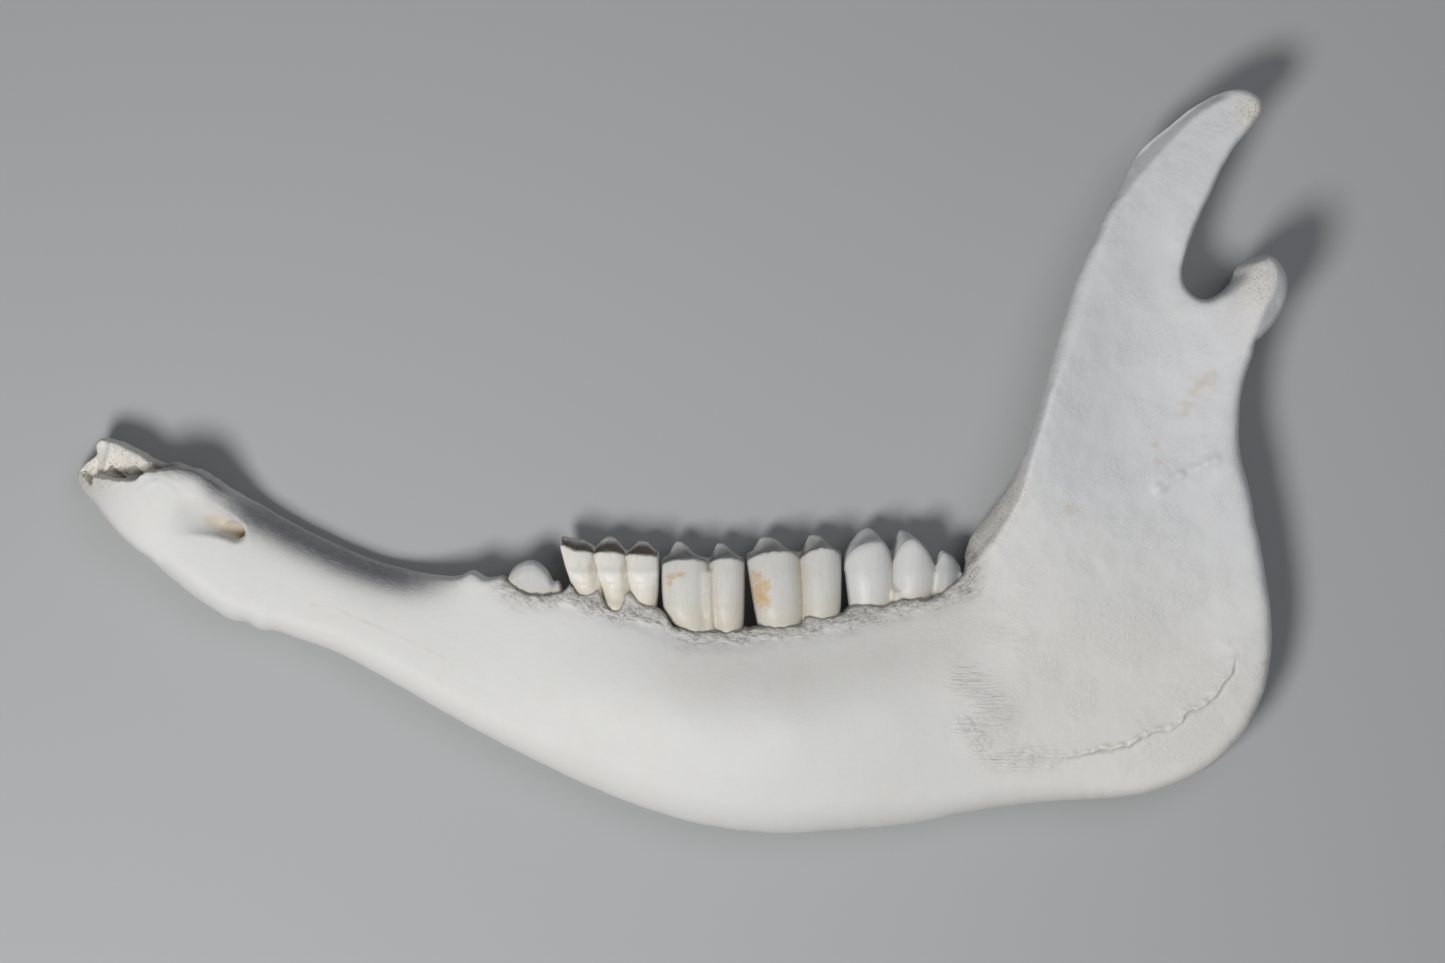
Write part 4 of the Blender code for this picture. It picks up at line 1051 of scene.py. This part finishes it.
class Bench:
    """A node tree and the one way in which nodes are put into it."""

    def __init__(self, tree):
        self.tree = tree

    def node(self, kind, settings=None, inputs=None, output=0):
        made = self.tree.nodes.new(kind)
        for key, value in (settings or {}).items():
            setattr(made, key, value)
        for key, value in (inputs or {}).items():
            if isinstance(value, Wire):
                self.tree.links.new(value.socket, made.inputs[key])
            else:
                made.inputs[key].default_value = value
        return Wire(self, made.outputs[output])

    def sum_up(self, operation, first, second):
        return self.node("ShaderNodeMath", {"operation": operation}, {0: first, 1: second})

    def clamp(self, value):
        return self.node("ShaderNodeMath", {"operation": "ADD", "use_clamp": True}, {0: value, 1: 0.0})

    def step_up(self, value, start, end):
        return self.node("ShaderNodeMapRange", {"interpolation_type": "SMOOTHSTEP"},
                         {"Value": value, "From Min": start, "From Max": end})

    def tint(self, share, first, second):
        first, second = (c if isinstance(c, Wire) else (*c, 1.0) for c in (first, second))
        return self.node("ShaderNodeMix", {"data_type": "RGBA"}, {0: share, 6: first, 7: second}, 2)

    def coats(self, colour, layers):
        """Lays colours over the first one, each with its share of the surface."""
        for share, coat in layers:
            colour = self.tint(share, colour, coat)
        return colour

    def vector(self, operation, first, second, output=0):
        return self.node("ShaderNodeVectorMath", {"operation": operation}, {0: first, 1: second}, output)

    def scaled(self, place, factors):
        return self.vector("MULTIPLY", place, factors)

    def noise(self, place, size, detail, rough, distortion=0.0):
        return self.node("ShaderNodeTexNoise", None,
                         {"Vector": place, "Scale": 1.0 / size, "Detail": detail, "Roughness": rough,
                          "Distortion": distortion})

    def cells(self, place, size):
        return self.node("ShaderNodeTexVoronoi", None, {"Vector": place, "Scale": 1.0 / size})

    def attribute(self, name, output="Fac"):
        return self.node("ShaderNodeAttribute", {"attribute_name": name}, None, output)

    def bump(self, strength, height):
        return self.node("ShaderNodeBump", None, {"Strength": strength, "Distance": MM, "Height": height})


def relief_tree(name, sizes):
    """Pushes a surface along its normal: slow waves, grain where it is rough, pits where it is porous."""
    tree = bpy.data.node_groups.new(name, "GeometryNodeTree")
    face = tree.interface
    face.new_socket("Geometry", in_out="INPUT", socket_type="NodeSocketGeometry")
    for label, value in sizes.items():
        socket = face.new_socket(label, in_out="INPUT", socket_type="NodeSocketFloat")
        socket.default_value = value
    face.new_socket("Finish", in_out="INPUT", socket_type="NodeSocketMaterial")
    face.new_socket("Geometry", in_out="OUTPUT", socket_type="NodeSocketGeometry")
    bench = Bench(tree)
    group = tree.nodes.new("NodeGroupInput")
    given = {label: Wire(bench, group.outputs[label]) for label in (*sizes, "Geometry", "Finish")}
    place = bench.node("GeometryNodeInputPosition")
    rough, porous = (bench.node("GeometryNodeInputNamedAttribute", {"data_type": "FLOAT"}, {"Name": label})
                     for label in ("rough", "porous"))

    def waves(size, detail):
        return bench.node("ShaderNodeTexNoise", {"noise_dimensions": "4D"},
                          {"Vector": place, "W": given["Seed"], "Scale": 1.0 / size, "Detail": detail})

    swell = (waves(given["Wave size"], 2.0) - 0.5) * given["Wave height"]
    grain = (waves(given["Grain size"], 3.0) - 0.5) * given["Grain height"] * (rough + 0.12)
    cells = bench.node("ShaderNodeTexVoronoi", {"voronoi_dimensions": "4D"},
                       {"Vector": place, "W": given["Seed"], "Scale": 1.0 / given["Pit size"]})
    pits = (1.0 - bench.step_up(cells, 0.05, 0.5)) * given["Pit depth"] * porous
    push = swell + grain - pits
    normal = bench.node("GeometryNodeInputNormal")
    offset = bench.node("ShaderNodeVectorMath", {"operation": "SCALE"}, {0: normal, "Scale": push})
    moved = bench.node("GeometryNodeSetPosition", None, {"Geometry": given["Geometry"], "Offset": offset})
    real = bench.node("GeometryNodeRealizeInstances", None, {"Geometry": moved})
    painted = bench.node("GeometryNodeSetMaterial", None, {"Geometry": real, "Material": given["Finish"]})
    out = tree.nodes.new("NodeGroupOutput")
    tree.links.new(painted.socket, out.inputs["Geometry"])
    return tree


def lift_to_floor(obj):
    """Brings what lies a hair below the floor up to it."""
    co = coordinates(obj)
    co[2::3] = np.maximum(co[2::3], 0.0)
    obj.data.vertices.foreach_set("co", co)
    obj.data.update()


def run_tree(obj, tree, values):
    """Runs a geometry tree on an object and keeps the result as its plain mesh."""
    step = obj.modifiers.new(tree.name, "NODES")
    step.node_group = tree
    for item in tree.interface.items_tree:
        if item.item_type == "SOCKET" and item.in_out == "INPUT" and item.name in values:
            step[item.identifier] = values[item.name]
    solidify_result(obj)
    lift_to_floor(obj)
    obj.data.shade_smooth()


# Bone: what each place of the surface is like

def mark_bone(bone, outline):
    """Stores on each vertex how rough, porous, stained or deep the bone is there."""
    x, y, z, normal = drawing_places(bone)
    up = normal[:, 2]
    outward = rise(z, 12.0, 16.0)
    border = measure(x, y, closed_line(outline))[0] * inside(np.column_stack((x, y)), outline)
    lower, upper = plate_heights(x, y, border, outline)
    sunk = np.minimum(np.minimum(upper - z, z - lower), border)
    scoop = 0.38 * rise(foramen_scoop(x, y), 1.9, 4.0) * rise(up, 0.0, 0.4)
    # rough and porous places: edge of the sockets, incisor end, tips of the processes, strip behind the teeth
    edge = measure(x, y, ALVEOLAR_LINE)[0]
    ragged = 0.5 + 0.5 * clouds(x, y, z, 2.4, 2, 41.0)
    margin = bell(edge, np.clip(3.2 + 1.8 * clouds(x, y, 0.0, 8.0, 2, 42.0), 1.6, 6.0))
    end = band(x, y, ROSTRAL_LINE, 7.5)
    trough = end * rise(26.0 - z, 0.0, 6.0) * rise(up, -0.4, 0.3)
    tip = bell(np.hypot(x - 178.0, y - 107.5), 6.0)
    head = bell(np.hypot((x - 178.0) / 8.0, (y - 54.0) / 10.0), 1.0) * rise(z, 26.0, 33.0)
    strip = band(x, y, ((91.0, -28.0), (97.0, -20.0), (104.0, -8.0)), 4.5)
    # fibres and lines of the outer face
    run, signed = beside(x, y, MASSETER_LINE)[1:]
    fibrous = 0.9 * masseter_front(run, signed) + band(x, y, FIBRE_PATCH, 5.6)
    fibrous += 0.35 * band(x, y, FAINT_FIBRES, 4.0)
    crack = band(x, y, curve(CRACK_LINE, 1.0), 0.35) * (0.4 + 0.6 * clouds(x, y, 0.0, 6.0, 2, 44.0))
    # painted shade: a darker band below the tooth row, where the face tilts up away from the light
    shade_below_teeth = bell(edge - 13.0, 11.0) * stretch(x, -30.0, 20.0, 84.0, 104.0) * rise(z, 12.0, 18.0)
    # grey faces: painted shade on the face that drops to the ledge of the diastema, with some grey staining
    # there, and on the bevel of the coronoid process; grey fibres on the torn edge behind the incisors
    away, run = beside(x, y, DIASTEMA_EDGE)[:2]
    ledge_shade_and_fibres = bell(away - 3.0, 4.5) * stretch(run, 2.0, 24.0, 66.0, 92.0) * rise(z, 3.0, 6.0)
    torn = band(x, y, TORN_EDGE, 3.0)
    run, signed = beside(x, y, BEVEL_LINE)[1:]
    bevel_shade = BEVEL_SHADE * rise(-signed, 0.0, 1.2) * stretch(run, 0.0, 6.0, 40.0, 54.0)
    bevel_shade = bevel_shade * (measure(x, y, BEVEL_LINE)[0] < 9.0) * rise(y, 74.0, 80.0)
    along, across = along_bone(x, y)
    ramus = rise(along, 275.0, 330.0)
    marks = {
        "rough": 0.9 * margin + 0.7 * end + 0.8 * tip + 0.6 * head + 0.7 * strip,
        "porous": 0.6 * margin * ragged + 0.8 * tip + 0.5 * head + 0.7 * strip + 0.5 * trough,
        "margin": margin * (0.5 + ragged),
        "cream": tip + 0.7 * head + 0.6 * strip + 0.9 * trough,
        "trough": trough,
        # beige in the hollows, then painted shade of dark brown deeper in sockets and canals
        "hollow_shade": np.maximum(rise(sunk, 0.5, 7.5), scoop),
        "facet": rise(beyond_joint_edge(x, y), -0.2, 0.9) * rise(y, 34.0, 38.0),
        "fibrous": np.minimum(fibrous, 1.0) * outward,
        "crack": crack * rise(z, 10.0, 14.0),
        # painted shade: a dark brown line in the groove along the masseter's field
        "groove_shade": masseter_seam(x, y) * outward,
        "ledge_shade_and_fibres": np.clip(ledge_shade_and_fibres + torn + bevel_shade, 0.0, 1.0) * (0.25 + 0.75 * rise(up, 0.0, 0.45)),
        "shade_below_teeth": shade_below_teeth,
        "ramus": ramus,
        "upper": rise(y + 0.3 * x, -30.0, 40.0) * ramus,
    }
    for name, values in marks.items():
        keep(bone, name, np.clip(values, 0.0, 1.0))
    flow = bone.data.attributes.new("flow", "FLOAT_VECTOR", "POINT")
    flow.data.foreach_set("vector", np.column_stack((along, across, z)).astype(np.float32).ravel())


# Finishes

def new_finish(name):
    material = bpy.data.materials.new(name)
    material.use_nodes = True
    bench = Bench(material.node_tree)
    shader = material.node_tree.nodes["Principled BSDF"]
    place = bench.node("ShaderNodeTexCoord", None, None, "Object")
    return material, bench, shader, bench.scaled(place, (1.0 / MM,) * 3)


def connect(bench, shader, sockets):
    for label, value in sockets.items():
        if isinstance(value, Wire):
            bench.tree.links.new(value.socket, shader.inputs[label])
        else:
            shader.inputs[label].default_value = value


BONE_WHITE = (0.712, 0.707, 0.69)
BONE_WARM = (0.70, 0.675, 0.61)
BONE_COOL = (0.725, 0.725, 0.735)
BONE_LOWER = (0.745, 0.73, 0.695)
# painted shade for the band below the tooth row
BONE_SHADE_BELOW_TEETH = (0.58, 0.565, 0.535)
BONE_CREAM = (0.78, 0.735, 0.645)
MARGIN_PALE = (0.50, 0.48, 0.445)
MARGIN_GREY = (0.24, 0.215, 0.19)
# painted shade on the diastema's drop and the coronoid bevel, and the grey of the torn fibres
LEDGE_SHADE_AND_FIBRE_GREY = (0.27, 0.265, 0.275)
HOLLOW_BEIGE = (0.60, 0.47, 0.32)
# painted shade deep in sockets and canals
HOLLOW_SHADE_BROWN = (0.16, 0.105, 0.065)
PORE_BROWN = (0.24, 0.165, 0.11)
STAIN_BEIGE = (0.60, 0.52, 0.40)
# painted shade in the masseter's groove
GROOVE_SHADE_BROWN = (0.30, 0.255, 0.20)
FACET_GREY = (0.78, 0.775, 0.79)
FIBRE_GREY = (0.50, 0.475, 0.46)

# Faint beige stains on the bone, in mm in the row's frame: place and half width.
BONE_STAINS = ((166.6, 28.6, 1.3), (165.0, 26.4, 1.9), (162.6, 24.6, 1.6), (160.4, 22.0, 1.7),
               (158.6, 18.4, 1.9), (157.6, 15.6, 1.5), (122.0, -13.8, 1.9), (182.9, -61.6, 1.0),
               (149.0, 6.0, 1.2), (149.6, 0.8, 1.2))


def bone_finish():
    material, bench, shader, place = new_finish("weathered_bone")
    flow = bench.attribute("flow", "Vector")
    margin, cream, hollow_shade, ramus, ledge_shade_and_fibres, facet, fibrous, upper, shade_below_teeth, crack, groove_shade, trough, porous = (
        bench.attribute(name) for name in ("margin", "cream", "hollow_shade", "ramus", "ledge_shade_and_fibres", "facet", "fibrous",
                                           "upper", "shade_below_teeth", "crack", "groove_shade", "trough", "porous"))
    broad = bench.noise(place, 34.0, 3.0, 0.5)
    mottle = bench.noise(place, 5.0, 4.0, 0.6)
    smudge = bench.noise(place, 2.6, 5.0, 0.7)
    fine = bench.noise(place, 0.55, 3.0, 0.6)
    grit = bench.noise(place, 1.5, 5.0, 0.7, 0.4)
    strokes = bench.noise(bench.scaled(place, (0.16, 1.5, 0.8)), 1.0, 4.0, 0.65, 0.5)
    # patterns that follow the length of the bone
    streaks = bench.noise(bench.scaled(flow, (0.07, 1.1, 0.6)), 1.0, 4.0, 0.6, 0.4)
    strands = bench.noise(bench.scaled(flow, (0.42, 1.9, 1.0)), 1.0, 4.0, 0.65, 0.6)
    hairs = bench.noise(bench.scaled(flow, (0.34, 1.7, 0.6)), 1.0, 4.0, 0.7, 1.4)
    fibres = bench.noise(bench.scaled(flow, (0.32, 0.85, 0.8)), 1.0, 5.0, 0.65, 1.2)
    cracks = bench.step_up(hairs, 0.54, 0.64)
    pores = 1.0 - bench.step_up(bench.cells(place, 1.05), 0.10, 0.34)
    tiny = 1.0 - bench.step_up(bench.cells(bench.vector("ADD", place, (3.1, 7.7, 1.3)), 0.6), 0.12, 0.36)
    pitted = bench.clamp(porous * 1.3) * bench.clamp(pores + tiny * 0.6) * (1.0 - facet)
    cluster = bench.step_up(bench.noise(place, 4.5, 2.0, 0.5), 0.44, 0.58)
    # darker grey patches and fine cracks along the edge of the tooth row
    margin_dark_patches = bench.clamp(margin * (bench.noise(place, 1.1, 4.0, 0.7) * 2.6 - 1.25) + margin * cracks * 0.9)

    colour = bench.tint(ramus, BONE_WHITE, bench.tint(upper, BONE_LOWER, BONE_COOL))
    colour = bench.coats(colour, (
        (bench.step_up(broad, 0.45, 0.75) * 0.35, BONE_COOL),
        (bench.step_up(mottle, 0.52, 0.78) * 0.30, BONE_WARM),
        (bench.step_up(streaks, 0.52, 0.76) * 0.34, BONE_WARM),
        (bench.step_up(smudge, 0.55, 0.80) * 0.40 * ramus, BONE_WARM),
        # painted shade below the tooth row
        (shade_below_teeth * (0.3 + mottle * 0.4), BONE_SHADE_BELOW_TEETH),
        (bench.clamp(cream * 0.8), BONE_CREAM),
        (facet * 0.8, FACET_GREY),
        (bench.step_up(strokes, 0.50, 0.70) * fibrous * 0.6, FIBRE_GREY),
    ))
    for stain_x, stain_y, size in BONE_STAINS:
        flat = bench.scaled(place, (1.0, 1.0, 0.0))
        reach = bench.vector("DISTANCE", flat, (stain_x, stain_y, 0.0), "Value")
        soft = 1.0 - bench.step_up(reach + (smudge - 0.5) * (4.5 * size), 0.2 * size, 1.5 * size)
        colour = bench.tint(soft * 0.42, colour, STAIN_BEIGE)
    colour = bench.coats(colour, (
        (bench.clamp(crack * 0.6), STAIN_BEIGE),
        # painted shade in the masseter's groove
        (bench.clamp(groove_shade * (0.2 + smudge * 0.7)), GROOVE_SHADE_BROWN),
        # painted shade on the diastema's drop and the coronoid bevel, with the grey torn fibres
        (bench.clamp(ledge_shade_and_fibres * (0.36 + strands * 1.25)), LEDGE_SHADE_AND_FIBRE_GREY),
        (bench.clamp(margin * 0.7), MARGIN_PALE),
        # darker grey patches and fine cracks along the edge of the tooth row
        (margin_dark_patches * 0.62, MARGIN_GREY),
        (pitted * 0.40, MARGIN_GREY),
        (bench.clamp(pores * cluster * trough * 0.7), PORE_BROWN),
        # beige in the hollows, then painted shade deep in sockets and canals
        (bench.step_up(hollow_shade, 0.05, 0.55) * 0.8, HOLLOW_BEIGE),
        (bench.step_up(hollow_shade, 0.45, 1.0) * 0.92, HOLLOW_SHADE_BROWN),
    ))

    patches = bench.step_up(bench.noise(place, 14.0, 2.0, 0.5), 0.38, 0.62)
    fibre_share = (0.16 + ramus * 0.64) * (0.2 + patches * 0.8)
    height = fine * 0.06 + mottle * 0.12 + (fibres * 0.22 + grit * 0.55) * fibre_share
    height = height + strands * (margin * 0.4 + ledge_shade_and_fibres * 0.7) + strokes * fibrous * 0.9
    height = height - pitted * 0.30 - cracks * margin * 0.25
    connect(bench, shader, {"Base Color": colour, "Roughness": 0.50 + mottle * 0.14 + margin * 0.12,
                            "Normal": bench.bump(0.8, height), "Specular IOR Level": 0.35})
    return material


# Enamel of each tooth: pale upper part, deeper tone toward the bone, inner cusps.
ENAMEL = {
    "erupting_premolar": ((0.60, 0.60, 0.605), (0.59, 0.57, 0.54), (0.60, 0.60, 0.60)),
    "milk_premolar": ((0.84, 0.815, 0.765), (0.74, 0.67, 0.52), (0.42, 0.43, 0.44)),
    "molar_1": ((0.69, 0.68, 0.65), (0.65, 0.59, 0.47), (0.40, 0.42, 0.45)),
    "molar_2": ((0.66, 0.655, 0.63), (0.64, 0.59, 0.49), (0.46, 0.465, 0.45)),
    "molar_3": ((0.685, 0.685, 0.675), (0.66, 0.64, 0.58), (0.50, 0.51, 0.51)),
}
TARTAR = (0.60, 0.39, 0.18)
FOLD_YELLOW = (0.58, 0.52, 0.40)
DENTINE = (0.17, 0.13, 0.095)
CUSP_EDGE = (0.80, 0.81, 0.82)
PIT_DARK = (0.07, 0.055, 0.04)
EDGE_DARK = (0.20, 0.16, 0.12)
CEMENT = (0.62, 0.585, 0.51)

# Stains on the crowns, in mm in the row's frame: place, half sizes and strength.
TOOTH_STAINS = {
    "erupting_premolar": (),
    "milk_premolar": ((-16.6, -33.0, 0.8, 2.6, 0.3), (-26.6, -32.4, 0.8, 3.0, 0.3)),
    "molar_1": ((-1.2, -34.9, 1.6, 0.9, 0.7), (1.4, -34.2, 1.7, 0.7, 0.6), (-1.9, -37.0, 1.1, 1.0, 0.6),
                (12.3, -41.0, 0.7, 7.0, 0.35)),
    "molar_2": ((26.0, -39.4, 3.0, 4.6, 0.8), (24.6, -34.8, 1.6, 1.9, 0.65), (27.8, -42.4, 1.8, 2.4, 0.75),
                (28.4, -37.6, 1.2, 1.8, 0.6), (40.6, -36.0, 1.7, 5.0, 0.22)),
    "molar_3": ((68.6, -40.0, 0.9, 3.0, 0.3),),
}
# Painted shade on the recessed third lobe of the last tooth, in the same terms.
SHADED_LOBE_PATCHES = {"molar_3": ((88.4, -35.0, 6.4, 12.0, 0.8),)}
LOBE_PAINTED_SHADE = (0.36, 0.36, 0.37)


def enamel_finish(name):
    material, bench, shader, place = new_finish(name + "_enamel")
    pale, deep, cusp_colour = ENAMEL[name]
    wear = TEETH[name]["worn"]
    tall, worn, edge, rough, fold, cusp, pit = (
        bench.attribute(label) for label in ("tall", "worn", "edge", "rough", "fold", "cusp", "pit"))
    mottle = bench.noise(place, 3.0, 4.0, 0.6)
    upright = bench.noise(bench.scaled(place, (1.0, 0.12, 1.0)), 0.9, 4.0, 0.6)
    bands = bench.noise(bench.scaled(place, (0.25, 1.0, 0.25)), 0.8, 3.0, 0.6)
    specks = bench.noise(place, 0.7, 3.0, 0.6)
    smear = bench.noise(bench.scaled(place, (0.7, 1.2, 1.0)), 1.5, 5.0, 0.75)
    spotted = bench.noise(place, 1.3, 3.0, 0.6, 0.6)

    def reach(spot):
        """Distance from a spot on the outer face, in its half sizes."""
        flat = bench.vector("SUBTRACT", place, (spot[0], spot[1], 0.0))
        flat = bench.scaled(flat, (1.0 / spot[2], 1.0 / spot[3], 0.0))
        return bench.vector("LENGTH", flat, (0.0, 0.0, 0.0), "Value")

    colour = bench.coats(pale, (
        (bench.clamp(1.0 - tall * 2.2 + (mottle - 0.5) * 1.4), deep),
        (bench.step_up(upright, 0.46, 0.76) * 0.75, deep),
        (bench.clamp(fold * (0.45 + (mottle - 0.5) * 1.6) * (0.3 + 0.7 * wear)), FOLD_YELLOW),
        (bench.clamp(rough * (0.4 + specks * 1.4)), CEMENT),
    ))
    for spot in TOOTH_STAINS[name]:
        soft = 1.0 - bench.step_up(reach(spot) + (smear - 0.5) * 3.2, 0.2, 1.5)
        colour = bench.tint(soft * spot[4], colour, TARTAR)
    # painted shade on the recessed third lobe of the last tooth
    for spot in SHADED_LOBE_PATCHES.get(name, ()):
        colour = bench.tint((1.0 - bench.step_up(reach(spot), 0.5, 1.2)) * spot[4], colour, LOBE_PAINTED_SHADE)
    line = bench.step_up(edge, 0.35, 0.6) * (1.0 - bench.step_up(edge, 0.8, 1.25)) * (0.15 + 0.85 * wear)
    colour = bench.coats(colour, (
        (bench.clamp(cusp * (0.80 + (mottle - 0.5) * 1.6)), cusp_colour),
        (bench.clamp(worn * (0.35 + spotted * 1.1)), DENTINE),
        ((1.0 - bench.step_up(edge, 0.25, 0.5)) * 0.7, CUSP_EDGE),
        (bench.clamp(line * (0.55 + (specks - 0.5) * 1.6)), EDGE_DARK),
        (bench.step_up(pit, 0.3, 0.85) * 0.85, PIT_DARK),
    ))
    height = bands * 0.10 + upright * 0.17 + mottle * 0.08 + specks * rough * 0.4
    gloss = 0.36 + mottle * 0.14 + bench.clamp(worn) * 0.2 + rough * 0.2
    connect(bench, shader, {"Base Color": colour, "Roughness": gloss, "Normal": bench.bump(0.6, height),
                            "Specular IOR Level": 0.4})
    return material


FLOOR_GREY = (0.44, 0.445, 0.45)
FLOOR_REACH = 4.0


def floor_finish():
    material, bench, shader, place = new_finish("studio_floor")
    connect(bench, shader, {"Base Color": (*FLOOR_GREY, 1.0), "Roughness": 0.9})
    return material


# Assembly

# Slow waves, grain and pits of the surfaces, in metres.
BONE_RELIEF = {"Seed": 3.0, "Wave size": 0.016, "Wave height": 0.00040, "Grain size": 0.0024,
               "Grain height": 0.00075, "Pit size": 0.0021, "Pit depth": 0.00035}
TOOTH_RELIEF = {"Seed": 8.0, "Wave size": 0.005, "Wave height": 0.00016, "Grain size": 0.0016,
                "Grain height": 0.00030, "Pit size": 0.0021, "Pit depth": 0.0}

bone, border = build_bone()
mark_bone(bone, border)
run_tree(bone, relief_tree("bone_surface_relief", BONE_RELIEF), {**BONE_RELIEF, "Finish": bone_finish()})
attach(bone, "root")
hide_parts("jawbone")

enamel_relief = relief_tree("enamel_surface_relief", TOOTH_RELIEF)
for number, (name, spec) in enumerate(TEETH.items()):
    tooth = build_tooth(name, spec)
    run_tree(tooth, enamel_relief, {**TOOTH_RELIEF, "Seed": 8.0 + number, "Finish": enamel_finish(name)})
    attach(tooth, "root")
    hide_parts(name)

floor_mesh = bpy.data.meshes.new("floor")
corners = [(x * FLOOR_REACH, y * FLOOR_REACH, 0.0) for x, y in ((-1, -1), (1, -1), (1, 1), (-1, 1))]
floor_mesh.from_pydata(corners, [], [(0, 1, 2, 3)])
floor = bpy.data.objects.new("floor", floor_mesh)
bpy.context.scene.collection.objects.link(floor)
floor.data.materials.append(floor_finish())


# Lamps: name, place, aim, width, power and tint.
LAMPS = (
    ("key_softbox", (-0.29, -0.375, 0.80), (-0.02, -0.02, 0.0), 0.30, 6.0, (1.0, 0.99, 0.975)),
    ("fill_softbox", (0.42, 0.33, 1.0), (0.03, 0.0, 0.0), 0.7, 2.15, (0.95, 0.975, 1.0)),
)
# The camera hangs 1 m above the floor and looks straight down, as in the photograph.
CAMERA_PLACE = (0.01462, -0.00527, 1.018)
CAMERA_LENS = 79.72


def lamp(name, place, aim, size, power, tint):
    light = bpy.data.lights.new(name, "AREA")
    light.shape = "DISK"
    light.size = size
    light.energy = power
    light.color = tint
    obj = bpy.data.objects.new(name, light)
    obj.location = place
    obj.rotation_euler = (Vector(aim) - Vector(place)).to_track_quat("-Z", "Y").to_euler()
    bpy.context.scene.collection.objects.link(obj)


for row in LAMPS:
    lamp(*row)

world = bpy.data.worlds.new("studio")
world.use_nodes = True
background = world.node_tree.nodes["Background"]
background.inputs["Color"].default_value = (0.80, 0.86, 0.95, 1.0)
background.inputs["Strength"].default_value = 0.10
bpy.context.scene.world = world
bpy.context.scene.view_settings.view_transform = "Standard"

camera_data = bpy.data.cameras.new("copy_stand")
camera_data.sensor_width = 36.0
camera_data.lens = CAMERA_LENS
camera_data.clip_start = 0.05
camera_data.clip_end = 20.0
camera = bpy.data.objects.new("copy_stand", camera_data)
camera.location = CAMERA_PLACE
bpy.context.scene.collection.objects.link(camera)
bpy.context.scene.camera = camera
